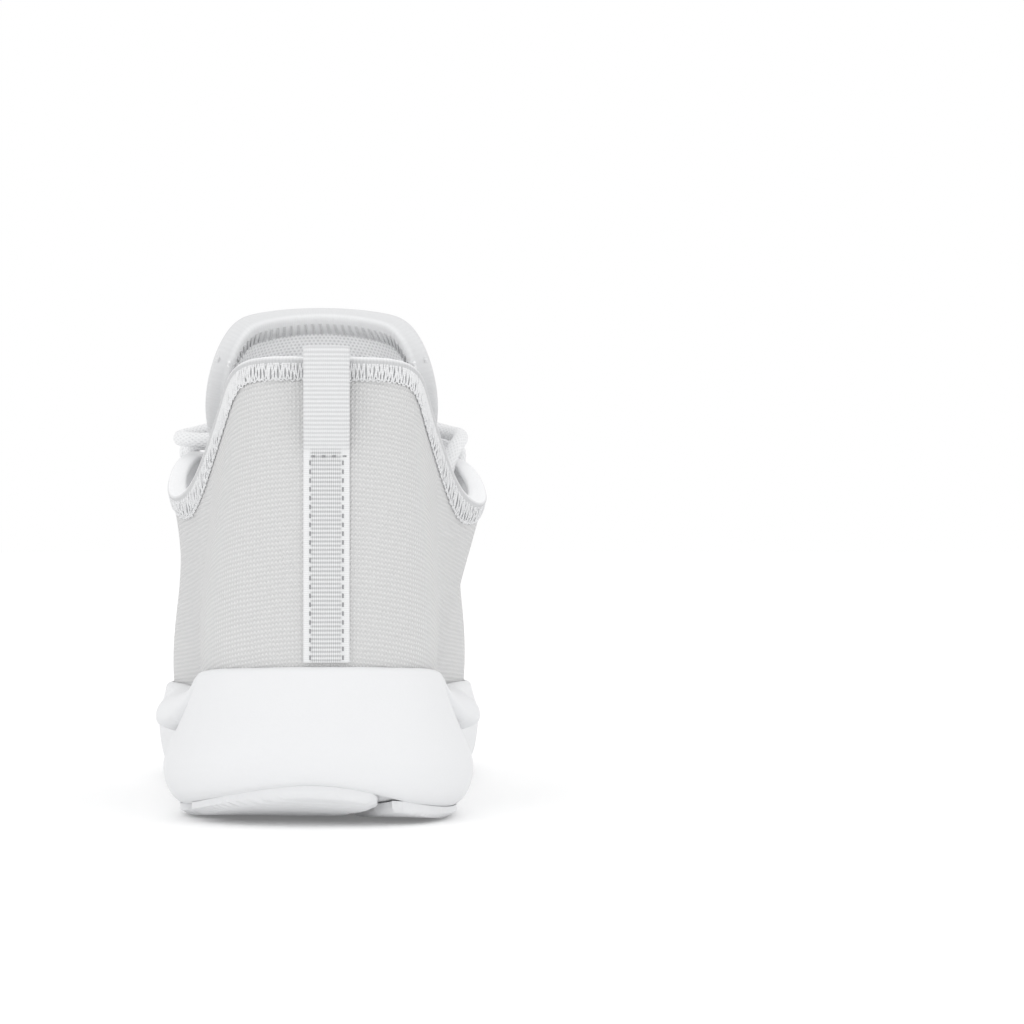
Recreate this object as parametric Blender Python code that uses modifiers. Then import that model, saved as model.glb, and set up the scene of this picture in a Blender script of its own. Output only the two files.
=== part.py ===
"""Left running shoe standing on the ground: knit upper, chunky foam sole, laced and tied.

+Y points to the toe, +X to the inner (medial) side and +Z up. Lengths are in millimetres
here and become metres as each mesh is made. The origin is on the ground under the middle
of the shoe; the tables below are measured from the heel's centre line instead, and
HEEL_LINE says where that line stands.

The upper, the sole and their linings share one layout. A station number runs from 0 at the
heel to 11 at the toe, down each side of the shoe, and each table has one value a station.
"""

import math

import bmesh
import bpy
import numpy as np
from mathutils import Vector

MM = 0.001
HEEL_LINE = (2.1, 1.8)
TOE = 11
STATIONS = 2 * TOE
THROAT_END = 9
# Spacing of the columns that every shell shares, closer at the wings and the throat's end.
COLUMN_STEPS = [
    (0, 2, 1 / 3), (2, 4, 1 / 2), (4, 8, 1 / 4), (8, THROAT_END, 1 / 8), (THROAT_END, TOE, 1 / 3),
]

# Where the upper meets the foam, seen from above: (x, y) down the outer and inner side.
FEATHER_OUTER = [
    (0, -137), (-19.5, -131.5), (-31, -115), (-33.5, -89), (-34, -60), (-36.5, -29),
    (-41.5, 3), (-46, 34), (-45.5, 65), (-39.5, 93), (-25, 120), (-1, 133.5),
]
FEATHER_INNER = [
    (18, -131.5), (27.5, -115), (29, -89), (29, -60), (31, -29),
    (36, 4), (41, 35), (42, 65), (37.5, 92), (25, 118.5),
]
# The opening's edge: the collar, then the throat, which closes at station THROAT_END.
OPENING_OUTER = [
    (0, -137.5, 121.2), (-20, -132, 120.8), (-26.8, -118, 112.5), (-32, -98, 98.5),
    (-38.5, -73, 87.3), (-44.4, -45, 88.5), (-39.5, -19, 99), (-26.5, 9, 93.5),
    (-18.5, 35, 82.5), (0, 57, 71),
]
OPENING_INNER = [
    (20, -132, 120.4), (26.4, -118, 112), (31.5, -98, 98), (38.5, -73, 86),
    (45, -45, 86.3), (39, -19, 97), (26.5, 9, 93), (18.5, 35, 82.5),
]
# Heights, one value a station from heel to toe.
TREAD_OUTER = [8.0, 5.6, 1.6, 0.1, 0, 0, 0, 0, 0, 0.8, 4.6, 10.5]
TREAD_INNER = [3.2, 0.5, 0, 0, 0, 0, 0, 0, 0.8, 4.6]
FOOTBED = [31, 30.5, 30, 29.5, 28, 26, 24, 22, 20.5, 20, 21.5, 24.5]
RIM = [41.2, 40.6, 39, 34.5, 31.5, 30.5, 30, 29, 28, 27.5, 29.5, 34]
# Handles of the wall's curve: outward and up at its foot, outward and down at its top.
FOOT_OUT = [5.5, 4.5, 3.5, 3, 3, 4, 5, 5, 5, 5, 6, 6.5]
FOOT_UP = [34, 34, 30, 26, 24, 25, 32, 34, 30, 26, 23, 20]
TOP_OUT = [-1, -1, -1, -1.5, -3, -4, 2, 10, 15, 23, 23, 22]
TOP_DOWN = [34, 34, 26, 20, 16, 18, 18, 11, 6, 0, 0, 0]
# The vamp's ridge falls away from the throat's end by slope d + bend d^2.
RIDGE_LENGTH, RIDGE_SLOPE, RIDGE_BEND = 48.0, -0.37, -0.0010

# The foam's side, from tread to rim, as (outward from the feather line, height): at the back
# of the heel, its side, the waist, the forefoot and the toe. Each gives way to the next
# between the two stations of REGION_CHANGES.
SIDE_BACK = [(5.2, 3.0), (7.2, 5.6), (8.0, 13.5), (6.8, 22.0), (4.8, 30.0)]
SIDE_HEEL = [(5.4, 3.0), (8.8, 5.8), (10.8, 13.5), (8.0, 22.0), (5.2, 30.0)]
SIDE_WAIST = [(1.0, 3.0), (4.4, 6.0), (6.0, 11.5), (5.0, 18.0), (4.4, 24.0)]
SIDE_FORE = [(-1.0, 3.0), (3.2, 5.6), (5.0, 12.0), (5.4, 19.0), (4.2, 24.0)]
SIDE_TOE = [(1.0, 3.0), (5.2, 5.6), (7.4, 10.0), (7.9, 15.0), (6.6, 20.0)]
REGION_CHANGES = [(0.3, 1.6), (2.6, 4.4), (5.0, 7.0), (9.0, 10.6)]
RISE_FADE = 31.0
RIM_OUT, RIM_ROUND = 3.2, 1.2

# Layers of the upper, as depths below its outer face.
GAP = 0.3
KNIT = 1.4
STIFFENER = (1.7, 2.6)
LINING_DEPTH, LINING = 2.9, 0.8
COLLAR_PADDING = 3.2
EDGE_BAND = 4.2
EYESTAY_REACH = 15.7
BAND_THICKNESS = 0.6
RUBBER = 2.7

# The tongue, from the vamp to its free top: its outer face's centre line (y, z), half width,
# how far its sides fall back, the angle they fall at, and the arc it spans, in degrees.
# Its points are about TONGUE_STEP apart, and it folds forward about point TONGUE_FOLD.
TONGUE_LINE = [(62, 56.5), (40, 69), (15, 82), (-8, 95.5), (-22, 109), (-36, 124), (-46, 139.5)]
TONGUE_HALF_WIDTH = [22, 26, 28, 30, 31.5, 35, 30.5]
TONGUE_SAG = [12, 14, 16, 20, 22, 27, 29]
TONGUE_LEAN = [63, 63, 60, 52, 46, 30, 16]
TONGUE_ARC = [50, 62, 75, 80, 80, 80, 80]
TONGUE_FOLD = 4
TONGUE_STEP = 18.0
TONGUE_LAYERS = {"knit": (0.0, 1.2), "foam": (1.5, 2.4), "lining": (4.8, 0.8)}
TONGUE_ROLL = 4.0

WEBBING_WIDTH, WEBBING = 12.0, 1.0
STRAP_FOOT, STRAP_TOP = 41.8, 96.0
LOOP_FOOT, LOOP_TOP = 98.2, 125.0
TAB_HINGE_HEIGHT = 97.0
LOOP_GAP = 1.8

LACE_RADIUS = 2.25
EYELET_STATIONS = [6.42, 6.96, 7.46, 7.94, 8.38]
EYELET_INSET = 10.0
OVER_QUARTER, UNDER_QUARTER = 4.9, 7.6
EYELET_BORE, EYELET_BARREL, EYELET_FLANGE = 2.85, 3.35, 4.5
EYELET_HOLE = 3.75

WHITE = (0.86, 0.86, 0.87)
GREY_KNIT = (0.66, 0.66, 0.66)
LINING_GREY = (0.70, 0.70, 0.71)
BOARD = (0.80, 0.79, 0.75)


def spline(values, closed=False):
    """A smooth curve through evenly spaced values: returns f(t), t counted in values."""
    values = np.asarray(values, float)
    count = len(values)
    before, after = np.roll(values, 1, 0), np.roll(values, -1, 0)
    system = 4 * np.eye(count) + np.roll(np.eye(count), 1, 0) + np.roll(np.eye(count), -1, 0)
    change = 6 * (after - 2 * values + before)
    if not closed:
        system[[0, -1]] = np.eye(count)[[0, -1]]
        change[[0, -1]] = 0
    bend = np.linalg.solve(system, change)

    def at(t):
        t = np.asarray(t, float)
        t = t % count if closed else np.clip(t, 0, count - 1)
        i = np.minimum(np.floor(t).astype(int), count - (1 if closed else 2))
        j = (i + 1) % count
        f = t - i
        if values.ndim == 2:
            f = f[..., None]
        g = 1 - f
        curved = (g**3 - g) * bend[i] + (f**3 - f) * bend[j]
        return g * values[i] + f * values[j] + curved / 6

    return at


def around(outer, inner=None):
    """A spline round the whole shoe from a table for each side, or from one for both."""
    inner = outer[1:-1] if inner is None else inner
    return spline(list(outer) + list(inner)[::-1], closed=True)


feather = around(FEATHER_OUTER, FEATHER_INNER)
opening = spline(OPENING_OUTER + OPENING_INNER[::-1], closed=True)
tread_curve = around(TREAD_OUTER, TREAD_INNER)
footbed = around(FOOTBED)
rim = around(RIM)
foot_out, foot_up = around(FOOT_OUT), around(FOOT_UP)
top_out, top_down = around(TOP_OUT), around(TOP_DOWN)


def tread_bottom(t):
    """Height of the tread off the ground: flat at mid foot, lifting at the heel and toe."""
    return np.maximum(tread_curve(t), 0)


def station(t):
    """Station number, 0 to TOE, of a place t round the shoe."""
    t = np.asarray(t, float) % STATIONS
    return np.minimum(t, STATIONS - t)


def smooth_step(x, low, high):
    x = np.clip((np.asarray(x, float) - low) / (high - low), 0, 1)
    return x * x * (3 - 2 * x)


def outward(t):
    """Unit normal of the feather line, seen from above."""
    step = 1e-3
    along = feather(np.asarray(t) + step) - feather(np.asarray(t) - step)
    normal = np.stack([along[..., 1], -along[..., 0], 0 * along[..., 0]], -1)
    return -normal / np.linalg.norm(normal, axis=-1, keepdims=True)


def wall_top(t):
    """The top of the wall at t: on the opening's edge, or on the vamp's ridge."""
    t = np.asarray(t, float) % STATIONS
    u = station(t)
    edge = opening(np.where(t <= TOE, np.minimum(u, THROAT_END), -np.minimum(u, THROAT_END)))
    ahead = np.clip(u - THROAT_END, 0, None) / (TOE - THROAT_END) * RIDGE_LENGTH
    throat_end = np.array(OPENING_OUTER[THROAT_END], float)
    ridge = throat_end + np.stack(
        [0 * ahead, ahead, RIDGE_SLOPE * ahead + RIDGE_BEND * ahead**2], -1
    )
    return np.where((u < THROAT_END)[..., None], edge, ridge), ahead


def wall(t, s):
    """Point of the upper's outer face at t, from s = 0 at the foam to s = 1 at the top."""
    t, s = np.broadcast_arrays(np.asarray(t, float), np.asarray(s, float))
    base = np.concatenate([feather(t), (footbed(t) + 0.4)[..., None]], -1)
    top, ahead = wall_top(t)
    out = outward(t)
    up = np.array([0, 0, 1.0])
    slope = (RIDGE_SLOPE + 2 * RIDGE_BEND * ahead) * out[..., 1] * smooth_step(station(t), 8, 9)
    low = base + out * foot_out(t)[..., None] + up * foot_up(t)[..., None]
    high = (
        top + out * top_out(t)[..., None]
        + up * (slope * top_out(t) - top_down(t) * (station(t) < THROAT_END))[..., None]
    )
    s = s[..., None]
    r = 1 - s
    return r**3 * base + 3 * r * r * s * low + 3 * r * s * s * high + s**3 * top


def wall_normal(t, s):
    """Outward unit normal of the upper's outer face."""
    step = 1e-3
    s = np.clip(np.asarray(s, float), 0, 1 - 2 * step)
    across = wall(np.asarray(t) + step, s) - wall(np.asarray(t) - step, s)
    rise = wall(t, s + step) - wall(t, s - step)
    normal = np.cross(rise, across)
    return normal / np.linalg.norm(normal, axis=-1, keepdims=True)


def under_wall(t, s, depth):
    """Point of the upper at a depth below its outer face."""
    t, s, depth = np.broadcast_arrays(
        np.asarray(t, float), np.asarray(s, float), np.asarray(depth, float)
    )
    return wall(t, s) - wall_normal(t, s) * depth[..., None]


def wall_length(t):
    """Length of the wall from foam to top at t."""
    line = wall(np.asarray(t)[..., None], np.linspace(0, 1, 25))
    return np.linalg.norm(np.diff(line, axis=-2), axis=-1).sum(-1)


def s_below_top(t, distance):
    """The s that lies this distance below the wall's top."""
    return 1 - distance / wall_length(t) * (1 + 0.15 * distance / wall_length(t))


def place_on_wall(target, axes, t, s):
    """Solve for the (t, s) whose two coordinates, such as (x, z), are the target's."""
    place = np.array([t, s], float)
    axes = list(axes)
    for _ in range(12):
        here = wall(*place)[axes]
        slopes = np.stack([
            (wall(place[0] + 1e-4, place[1])[axes] - here) / 1e-4,
            (here - wall(place[0], place[1] - 1e-4)[axes]) / 1e-4,
        ], -1)
        place = place + np.linalg.solve(slopes, np.asarray(target) - here)
        place[1] = min(place[1], 1.0)
    return place


def columns_round_the_shoe():
    """Places of the columns, from the heel along the outer side to the toe and back."""
    side = [low + k * step for low, high, step in COLUMN_STEPS
            for k in range(round((high - low) / step))] + [TOE]
    return np.array(side + [STATIONS - u for u in side[-2:0:-1]])


ALL_ROUND = columns_round_the_shoe()


def column_places(first, last):
    """Places of the shared columns from one place to another; those before 0 are inner."""
    places = np.concatenate([ALL_ROUND - STATIONS, ALL_ROUND])
    return places[(places > first - 1e-6) & (places < last + 1e-6)]


# ---------------------------------------------------------------- making objects


def new_material(name, colour, roughness):
    material = bpy.data.materials.new(name)
    material.use_nodes = True
    shader = material.node_tree.nodes["Principled BSDF"]
    shader.inputs["Base Color"].default_value = (*colour, 1)
    shader.inputs["Roughness"].default_value = roughness
    shader.inputs["Metallic"].default_value = 0.0
    return material


def in_metres(point):
    x, y, z = point
    return Vector(((x + HEEL_LINE[0]) * MM, (y + HEEL_LINE[1]) * MM, z * MM))


def add_object(name, data, material, collection):
    obj = bpy.data.objects.new(name, data)
    if material is not None:
        data.materials.append(material)
    collection.objects.link(obj)
    return obj


def add_hinge(name, point, collection):
    """An empty on a joint's axis, for the pieces that turn about it."""
    hinge = add_object(name, None, None, collection)
    hinge.location = in_metres(point)
    return hinge


def hang_on(obj, hinge):
    obj.parent = hinge
    obj.location = -hinge.location


def mesh_object(name, mesh, material, collection):
    mesh.shade_smooth()
    mesh.set_sharp_from_angle(angle=math.radians(40))
    return add_object(name, mesh, material, collection)


def mesh_from(name, build):
    """A mesh made by build(bm), with duplicate points merged and normals facing out."""
    bm = bmesh.new()
    build(bm)
    bmesh.ops.remove_doubles(bm, verts=bm.verts[:], dist=1e-6)
    bmesh.ops.dissolve_degenerate(bm, edges=bm.edges[:], dist=1e-7)
    mesh = bpy.data.meshes.new(name)
    bm.to_mesh(mesh)
    bm.free()
    return mesh


def add_ring(bm, points):
    return [bm.verts.new(in_metres(p)) for p in points]


def bridge(bm, first, second, closed=True):
    count = len(first)
    for i in range(count if closed else count - 1):
        j = (i + 1) % count
        bm.faces.new((first[i], first[j], second[j], second[i]))


def add_sheet(name, grid, thickness, material, collection, round_shoe=False):
    """An open surface from a grid of points, thickened inwards with Solidify."""

    def build(bm):
        columns = [add_ring(bm, line) for line in grid]
        for left, right in zip(columns, columns[1:] + columns[:1] * round_shoe):
            bridge(bm, left, right, closed=False)

    obj = mesh_object(name, mesh_from(name, build), material, collection)
    shell = obj.modifiers.new("thickness", "SOLIDIFY")
    shell.thickness = thickness * MM
    shell.offset = -1
    shell.use_even_offset = True
    return obj


def add_block(name, rings, material, collection):
    """A closed body between rings of points; an end ring is filled across the shoe."""

    def fill(bm, ring, flip):
        half = len(ring) // 2
        for i in range(half):
            corners = [ring[i], ring[i + 1], ring[-i - 1], ring[-i]]
            if i == 0:
                corners = corners[:3]
            if i == half - 1:
                corners = [ring[i], ring[i + 1], ring[-i]]
            bm.faces.new(corners[::-1] if flip else corners)

    def build(bm):
        loops = [add_ring(bm, ring) for ring in rings]
        for low, high in zip(loops, loops[1:]):
            bridge(bm, high, low)
        fill(bm, loops[0], flip=True)
        fill(bm, loops[-1], flip=False)
        bmesh.ops.recalc_face_normals(bm, faces=bm.faces[:])

    return mesh_object(name, mesh_from(name, build), material, collection)


def add_sweep(name, sections, material, collection, closed=False):
    """A body through closed sections; its ends are filled unless it closes on itself."""

    def build(bm):
        loops = [add_ring(bm, section) for section in sections]
        for first, second in zip(loops, loops[1:] + loops[:1] * closed):
            bridge(bm, first, second)
        if not closed:
            bm.faces.new(loops[0][::-1])
            bm.faces.new(loops[-1])
        bmesh.ops.recalc_face_normals(bm, faces=bm.faces[:])

    return mesh_object(name, mesh_from(name, build), material, collection)


def add_tube(name, points, radius, material, collection):
    """A round cord through points, as a curve with filled caps."""
    curve = bpy.data.curves.new(name, "CURVE")
    curve.dimensions = "3D"
    curve.bevel_depth = radius * MM
    curve.bevel_resolution = 2
    curve.use_fill_caps = True
    spline = curve.splines.new("POLY")
    spline.points.add(len(points) - 1)
    for spot, point in zip(spline.points, points):
        spot.co = (*in_metres(point), 1)
    return add_object(name, curve, material, collection)


# ---------------------------------------------------------------- sole unit


def region_mix(t, values):
    """A value that changes from region to region of the foam's side."""
    u = station(t)
    mixed = values[0]
    for value, (first, last) in zip(values[1:], REGION_CHANGES):
        mixed = mixed + (value - mixed) * smooth_step(u, first, last)
    return mixed


def side_points(t):
    """The foam's side at t: (outward, height) for each of its rings below the rim."""
    points = []
    for regions in zip(SIDE_BACK, SIDE_HEEL, SIDE_WAIST, SIDE_FORE, SIDE_TOE):
        outs, heights = zip(*regions)
        points.append((region_mix(t, outs), region_mix(t, heights)))
    return points


def foam_ring(t, out, height):
    """Points round the shoe, out from the feather line and at a height."""
    flat = feather(t) + outward(t)[:, :2] * np.asarray(out, float)[..., None]
    return np.concatenate([flat, (np.zeros(len(t)) + height)[:, None]], -1)


def foam_side(t):
    """Rings up the foam's outer side, from the tread's edge to the rim."""
    rings = []
    lift = tread_bottom(t)
    for out, height in side_points(t):
        rise = lift * np.clip(1 - (height - 3) / RISE_FADE, 0, 1)
        rings.append(foam_ring(t, out, height + rise))
    rings.append(foam_ring(t, RIM_OUT, rim(t) - RIM_ROUND))
    return rings


def wall_out_at(t, height):
    """How far the upper's outer face stands out of the feather line at a height."""
    found = []
    for place, z in zip(t, height):
        line = wall(place, np.linspace(0, 0.5, 40))
        out = (line[:, :2] - feather(place)) @ outward(place)[:2]
        found.append(np.interp(z, line[:, 2], out))
    return np.array(found)


def add_midsole(material, collection):
    t = ALL_ROUND
    at_rim = wall_out_at(t, rim(t)) + 0.5
    rings = foam_side(t)
    rings.append(foam_ring(t, at_rim + 0.9, rim(t)))
    rings.append(foam_ring(t, at_rim, rim(t) - 1.0))
    rings.append(foam_ring(t, 0.5, footbed(t)))
    return add_block("midsole", rings, material, collection)


def add_footbed_plate(name, inset, bottom, thickness, material, collection):
    """A plate on the footbed, such as the lasting board or the insole."""
    t = ALL_ROUND
    rings = [
        foam_ring(t, -inset, footbed(t) + bottom),
        foam_ring(t, -inset, footbed(t) + bottom + thickness),
    ]
    return add_block(name, rings, material, collection)


# Rubber pads under the foam: stations and shares of the width, from outer to inner side.
PADS = {
    "outsole_heel_crash_pad": [
        (0.12, 0.05, 0.95), (0.5, 0.03, 0.90), (1.1, 0.02, 0.72), (1.9, 0.03, 0.54),
    ],
    "outsole_heel_outer_pad": [(2.15, 0.03, 0.46), (3.2, 0.03, 0.44), (4.3, 0.05, 0.36)],
    "outsole_heel_inner_pad": [
        (0.8, 0.88, 0.97), (1.2, 0.76, 0.98), (1.9, 0.62, 0.98), (3.1, 0.58, 0.98),
        (4.3, 0.68, 0.96),
    ],
    "outsole_forefoot_outer_pad": [(6.0, 0.04, 0.36), (7.0, 0.03, 0.45), (8.3, 0.03, 0.47)],
    "outsole_forefoot_inner_pad": [(6.2, 0.64, 0.97), (7.0, 0.55, 0.98), (8.3, 0.53, 0.98)],
    "outsole_toe_outer_pad": [(8.55, 0.03, 0.47), (9.6, 0.04, 0.47), (10.7, 0.10, 0.46)],
    "outsole_toe_inner_pad": [(8.55, 0.53, 0.97), (9.6, 0.53, 0.96), (10.7, 0.54, 0.90)],
}


def tread_point(u, share, height):
    """A point on the tread at a station and a share of the way from outer to inner side."""
    ends = []
    for t in (np.array([u]), np.array([STATIONS - u])):
        ends.append(foam_ring(t, side_points(t)[0][0], tread_bottom(t) + height)[0])
    return ends[0] + (ends[1] - ends[0]) * share


def add_pad(name, spans, material, collection):
    """A rubber pad: sections across the shoe, each a flat quadrilateral, rounded at its ends."""
    places = [span[0] for span in spans]
    steps = places[0] + (places[-1] - places[0]) * (1 - np.cos(np.linspace(0, math.pi, 9))) / 2
    low_share = np.interp(steps, places, [span[1] for span in spans])
    high_share = np.interp(steps, places, [span[2] for span in spans])
    sections = []
    for u, low, high in zip(steps, low_share, high_share):
        from_end = min(u - places[0], places[-1] - u)
        round_off = 1 - 0.4 * (1 - min(from_end / 0.3, 1)) ** 2
        middle, half = (low + high) / 2, (high - low) / 2 * round_off
        sections.append([
            tread_point(u, middle - half, 0), tread_point(u, middle + half, 0),
            tread_point(u, middle + half, RUBBER), tread_point(u, middle - half, RUBBER),
        ])
    return add_sweep(name, sections, material, collection)


# ---------------------------------------------------------------- upper


def rows(t):
    """s of the rows at each place: four to the eyestay's line, then the edge band's, the top."""
    stay = s_below_top(t, EYESTAY_REACH)[:, None]
    band = s_below_top(t, EDGE_BAND)[:, None]
    return np.concatenate([stay * np.linspace(0, 1, 5)[None, :], band, 0 * band + 1], 1)


def collar(t):
    """1 round the collar, fading to 0 along the throat."""
    return 1 - smooth_step(station(t), 4.0, 5.6)


def lining_depth(t, s):
    swell = smooth_step(s, 0.42, 0.66) * (1 - 0.75 * smooth_step(s, 0.86, 1.0))
    return LINING_DEPTH + COLLAR_PADDING * collar(t) * swell


def layer_grid(t, s, depth):
    return under_wall(t[:, None] + 0 * s, s, depth)


def add_upper_shells(knit_material, lining_material, collection):
    t = ALL_ROUND
    s = rows(t)
    add_sheet("upper_knit", layer_grid(t, s, 0.0), KNIT, knit_material, collection, True)
    depth = lining_depth(t[:, None], s)
    add_sheet("upper_lining", layer_grid(t, s, depth), LINING, lining_material, collection, True)


def add_stiffeners(material, collection):
    depth, thickness = STIFFENER[0], STIFFENER[1] - STIFFENER[0]
    t = column_places(-3, 3)
    s = rows(t)[:, :3] * (1, 1, 0.93)
    add_sheet("heel_counter", layer_grid(t, s, depth), thickness, material, collection)
    t = column_places(TOE - 1.0, TOE + 1.0)
    s = rows(t)[:, :4]
    add_sheet("toe_puff", layer_grid(t, s, depth), thickness, material, collection)


def add_collar_foam(material, collection):
    """Padding between knit and lining, thick at mid height and thin at the collar's edge."""
    t = column_places(-5, 5)
    s = rows(t)[:, 2:6] * (1.05, 1, 1, 1)
    outer = layer_grid(t, s, KNIT + GAP)
    inner = layer_grid(t, s, lining_depth(t[:, None], s) - GAP - 0.2)
    sections = [np.concatenate([a, b[::-1]]) for a, b in zip(outer, inner)]
    add_sweep("collar_foam", sections, material, collection)


def below_edge(t, distance):
    """Place (t, s) on the wall at this distance square to the opening's edge."""
    u = float(station(t))
    if distance == 0 or u < 8.2:
        return t, float(s_below_top(np.array(t), distance)) if distance else 1.0
    edge = wall(t, 1.0)
    along = wall(t + 1e-3, 1.0) - wall(t - 1e-3, 1.0)
    if u > THROAT_END - 1e-6:
        return THROAT_END + distance / RIDGE_LENGTH * (TOE - THROAT_END), 1.0
    away = np.array([along[1], -along[0]]) / np.hypot(along[0], along[1])
    away = away if away[1] > 0 else -away
    t_guess = t + 0.1 * np.sign(TOE - t % STATIONS)
    return place_on_wall(edge[:2] + away * distance, (0, 1), t_guess, 0.95)


def add_collar_band(material, collection):
    """The overlocked edge: a thin band folded over the edge of knit and lining."""
    t = column_places(-THROAT_END, THROAT_END)[:-1]
    thick = BAND_THICKNESS
    sections = []
    for place in t:
        gap = 0.4 + 0.4 * float(smooth_step(station(place), 8.6, 9))
        low, edge = below_edge(place, EDGE_BAND - 0.4), (place, 1.0)
        rise = wall(*edge) - wall(*low)
        rise = rise / np.linalg.norm(rise)
        section = []
        for extra, order in ((thick, 1), (0.0, -1)):
            outer = -gap - extra
            inner_low, inner_edge = (
                float(lining_depth(*at)) + LINING + gap + extra for at in (low, edge)
            )
            over = rise * (gap + extra)
            leg = [
                under_wall(*low, outer), under_wall(*edge, outer),
                under_wall(*edge, outer) + over, under_wall(*edge, inner_edge) + over,
                under_wall(*edge, inner_edge), under_wall(*low, inner_low),
            ]
            section += leg[::order]
        sections.append(section)
    add_sweep("collar_edge_band", sections, material, collection, closed=True)


def add_eyestays(material, collection):
    """Thin reinforcements outside the knit, on each side of the throat."""
    for side, first, last in (("outer", 6, 8.625), ("inner", -8.625, -6)):
        t = column_places(first, last)
        near = s_below_top(t, EDGE_BAND + 0.9 + 3.4 * smooth_step(station(t), 8.0, 8.6))
        s = np.concatenate([rows(t)[:, 4:5], near[:, None]], 1)
        grid = layer_grid(t, s, -GAP - 0.3 - BAND_THICKNESS)
        add_sheet(f"eyestay_{side}", grid, BAND_THICKNESS, material, collection)


# ---------------------------------------------------------------- eyelets


def eyelet_frame(place):
    """Centre, axis, and direction to the throat of the eyelet at a place round the shoe."""
    s = float(s_below_top(np.array(place), EYELET_INSET))
    centre, axis = wall(place, s), wall_normal(place, s)
    to_edge = wall(place, 1.0) - centre
    to_edge = to_edge - axis * (to_edge @ axis)
    return centre, axis, to_edge / np.linalg.norm(to_edge)


def revolved(centre, axis, side, profile, steps):
    """Closed sections of a profile of (radius, height) turned about an axis."""
    other = np.cross(axis, side)
    sections = []
    for k in range(steps):
        angle = 2 * math.pi * k / steps
        arm = side * math.cos(angle) + other * math.sin(angle)
        sections.append([centre + arm * r + axis * h for r, h in profile])
    return sections


def add_eyelets(material, collection):
    profile = [
        (EYELET_BORE, -4.4), (EYELET_BARREL, -4.4), (EYELET_BARREL, 1.5),
        (EYELET_FLANGE, 1.5), (EYELET_FLANGE - 0.5, 2.2), (EYELET_BORE + 0.3, 2.2),
        (EYELET_BORE, 1.8),
    ]
    for sign, side in ((1, "outer"), (-1, "inner")):
        for number, u in enumerate(EYELET_STATIONS, 1):
            centre, axis, to_edge = eyelet_frame(sign * u)
            sections = revolved(centre, axis, to_edge, profile, 12)
            add_sweep(f"eyelet_{side}_{number}", sections, material, collection, closed=True)


def cut_eyelet_holes(names, collection):
    """Round holes for the eyelets through every layer of the upper."""

    def build(bm):
        for sign in (1, -1):
            for u in EYELET_STATIONS:
                centre, axis, to_edge = eyelet_frame(sign * u)
                profile = [(0.0, -9.0), (EYELET_HOLE, -9.0), (EYELET_HOLE, 5.0), (0.0, 5.0)]
                sections = revolved(centre, axis, to_edge, profile, 12)
                loops = [add_ring(bm, section) for section in sections]
                for first, second in zip(loops, loops[1:] + loops[:1]):
                    bridge(bm, first, second, closed=False)
        bmesh.ops.remove_doubles(bm, verts=bm.verts[:], dist=1e-6)
        bmesh.ops.recalc_face_normals(bm, faces=bm.faces[:])

    cutter = add_object("eyelet_cutter", mesh_from("eyelet_cutter", build), None, collection)
    cutter.hide_render = True
    cutter.display_type = "WIRE"
    for name in names:
        cut = bpy.data.objects[name].modifiers.new("eyelet holes", "BOOLEAN")
        cut.object = cutter
        cut.operation = "DIFFERENCE"
        cut.solver = "EXACT"


# ---------------------------------------------------------------- tongue


tongue_line, tongue_lean = spline(TONGUE_LINE), spline(TONGUE_LEAN)
tongue_half_width, tongue_sag = spline(TONGUE_HALF_WIDTH), spline(TONGUE_SAG)
tongue_arc = spline(TONGUE_ARC)


def tongue_face(v, share):
    """Point of the tongue's outer face, v along its line, share -1 to 1 across it."""
    v, share = np.broadcast_arrays(np.asarray(v, float), np.asarray(share, float))
    arc = share * np.radians(tongue_arc(v))
    lean = np.radians(tongue_lean(v))
    line = tongue_line(v)
    fall = tongue_sag(v) * (1 - np.cos(arc))
    return np.stack([
        tongue_half_width(v) * np.sin(arc),
        line[..., 0] - fall * np.cos(lean),
        line[..., 1] - fall * np.sin(lean),
    ], -1)


def tongue_point(v, share, depth):
    """Point of the tongue at a depth below its outer face."""
    step = 1e-3
    v = np.clip(v, step, len(TONGUE_LINE) - 1 - step)
    along = tongue_face(v + step, share) - tongue_face(v - step, share)
    across = tongue_face(v, share + step) - tongue_face(v, share - step)
    normal = np.cross(along, across)
    normal = normal / np.linalg.norm(normal, axis=-1, keepdims=True)
    return tongue_face(v, share) - normal * np.asarray(depth, float)[..., None]


def tongue_top(share):
    """v of the tongue's top edge, rounded off at its corners."""
    return len(TONGUE_LINE) - 1 - 0.42 * smooth_step(np.abs(share), 0.72, 1.06)


def add_tongue(materials, collection, hinge):
    share = np.linspace(-1, 1, 11)[:, None]
    fold_gap = 0.2 / TONGUE_STEP
    below_roll = tongue_top(share) - (TONGUE_ROLL + 0.4) / TONGUE_STEP
    start = TONGUE_FOLD + fold_gap
    rows_of = {
        "lower": 0 * share + np.linspace(0, TONGUE_FOLD - fold_gap, 8)[None, :],
        "upper": np.concatenate(
            [start + (below_roll - start) * np.linspace(0, 1, 4), tongue_top(share)], 1
        ),
    }
    for part, v in rows_of.items():
        for layer, (depth, thickness) in TONGUE_LAYERS.items():
            grid = tongue_point(v, share + 0 * v, depth + 0 * v)
            obj = add_sheet(f"tongue_{part}_{layer}", grid, thickness, materials[layer], collection)
            if part == "upper":
                hang_on(obj, hinge)


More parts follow.
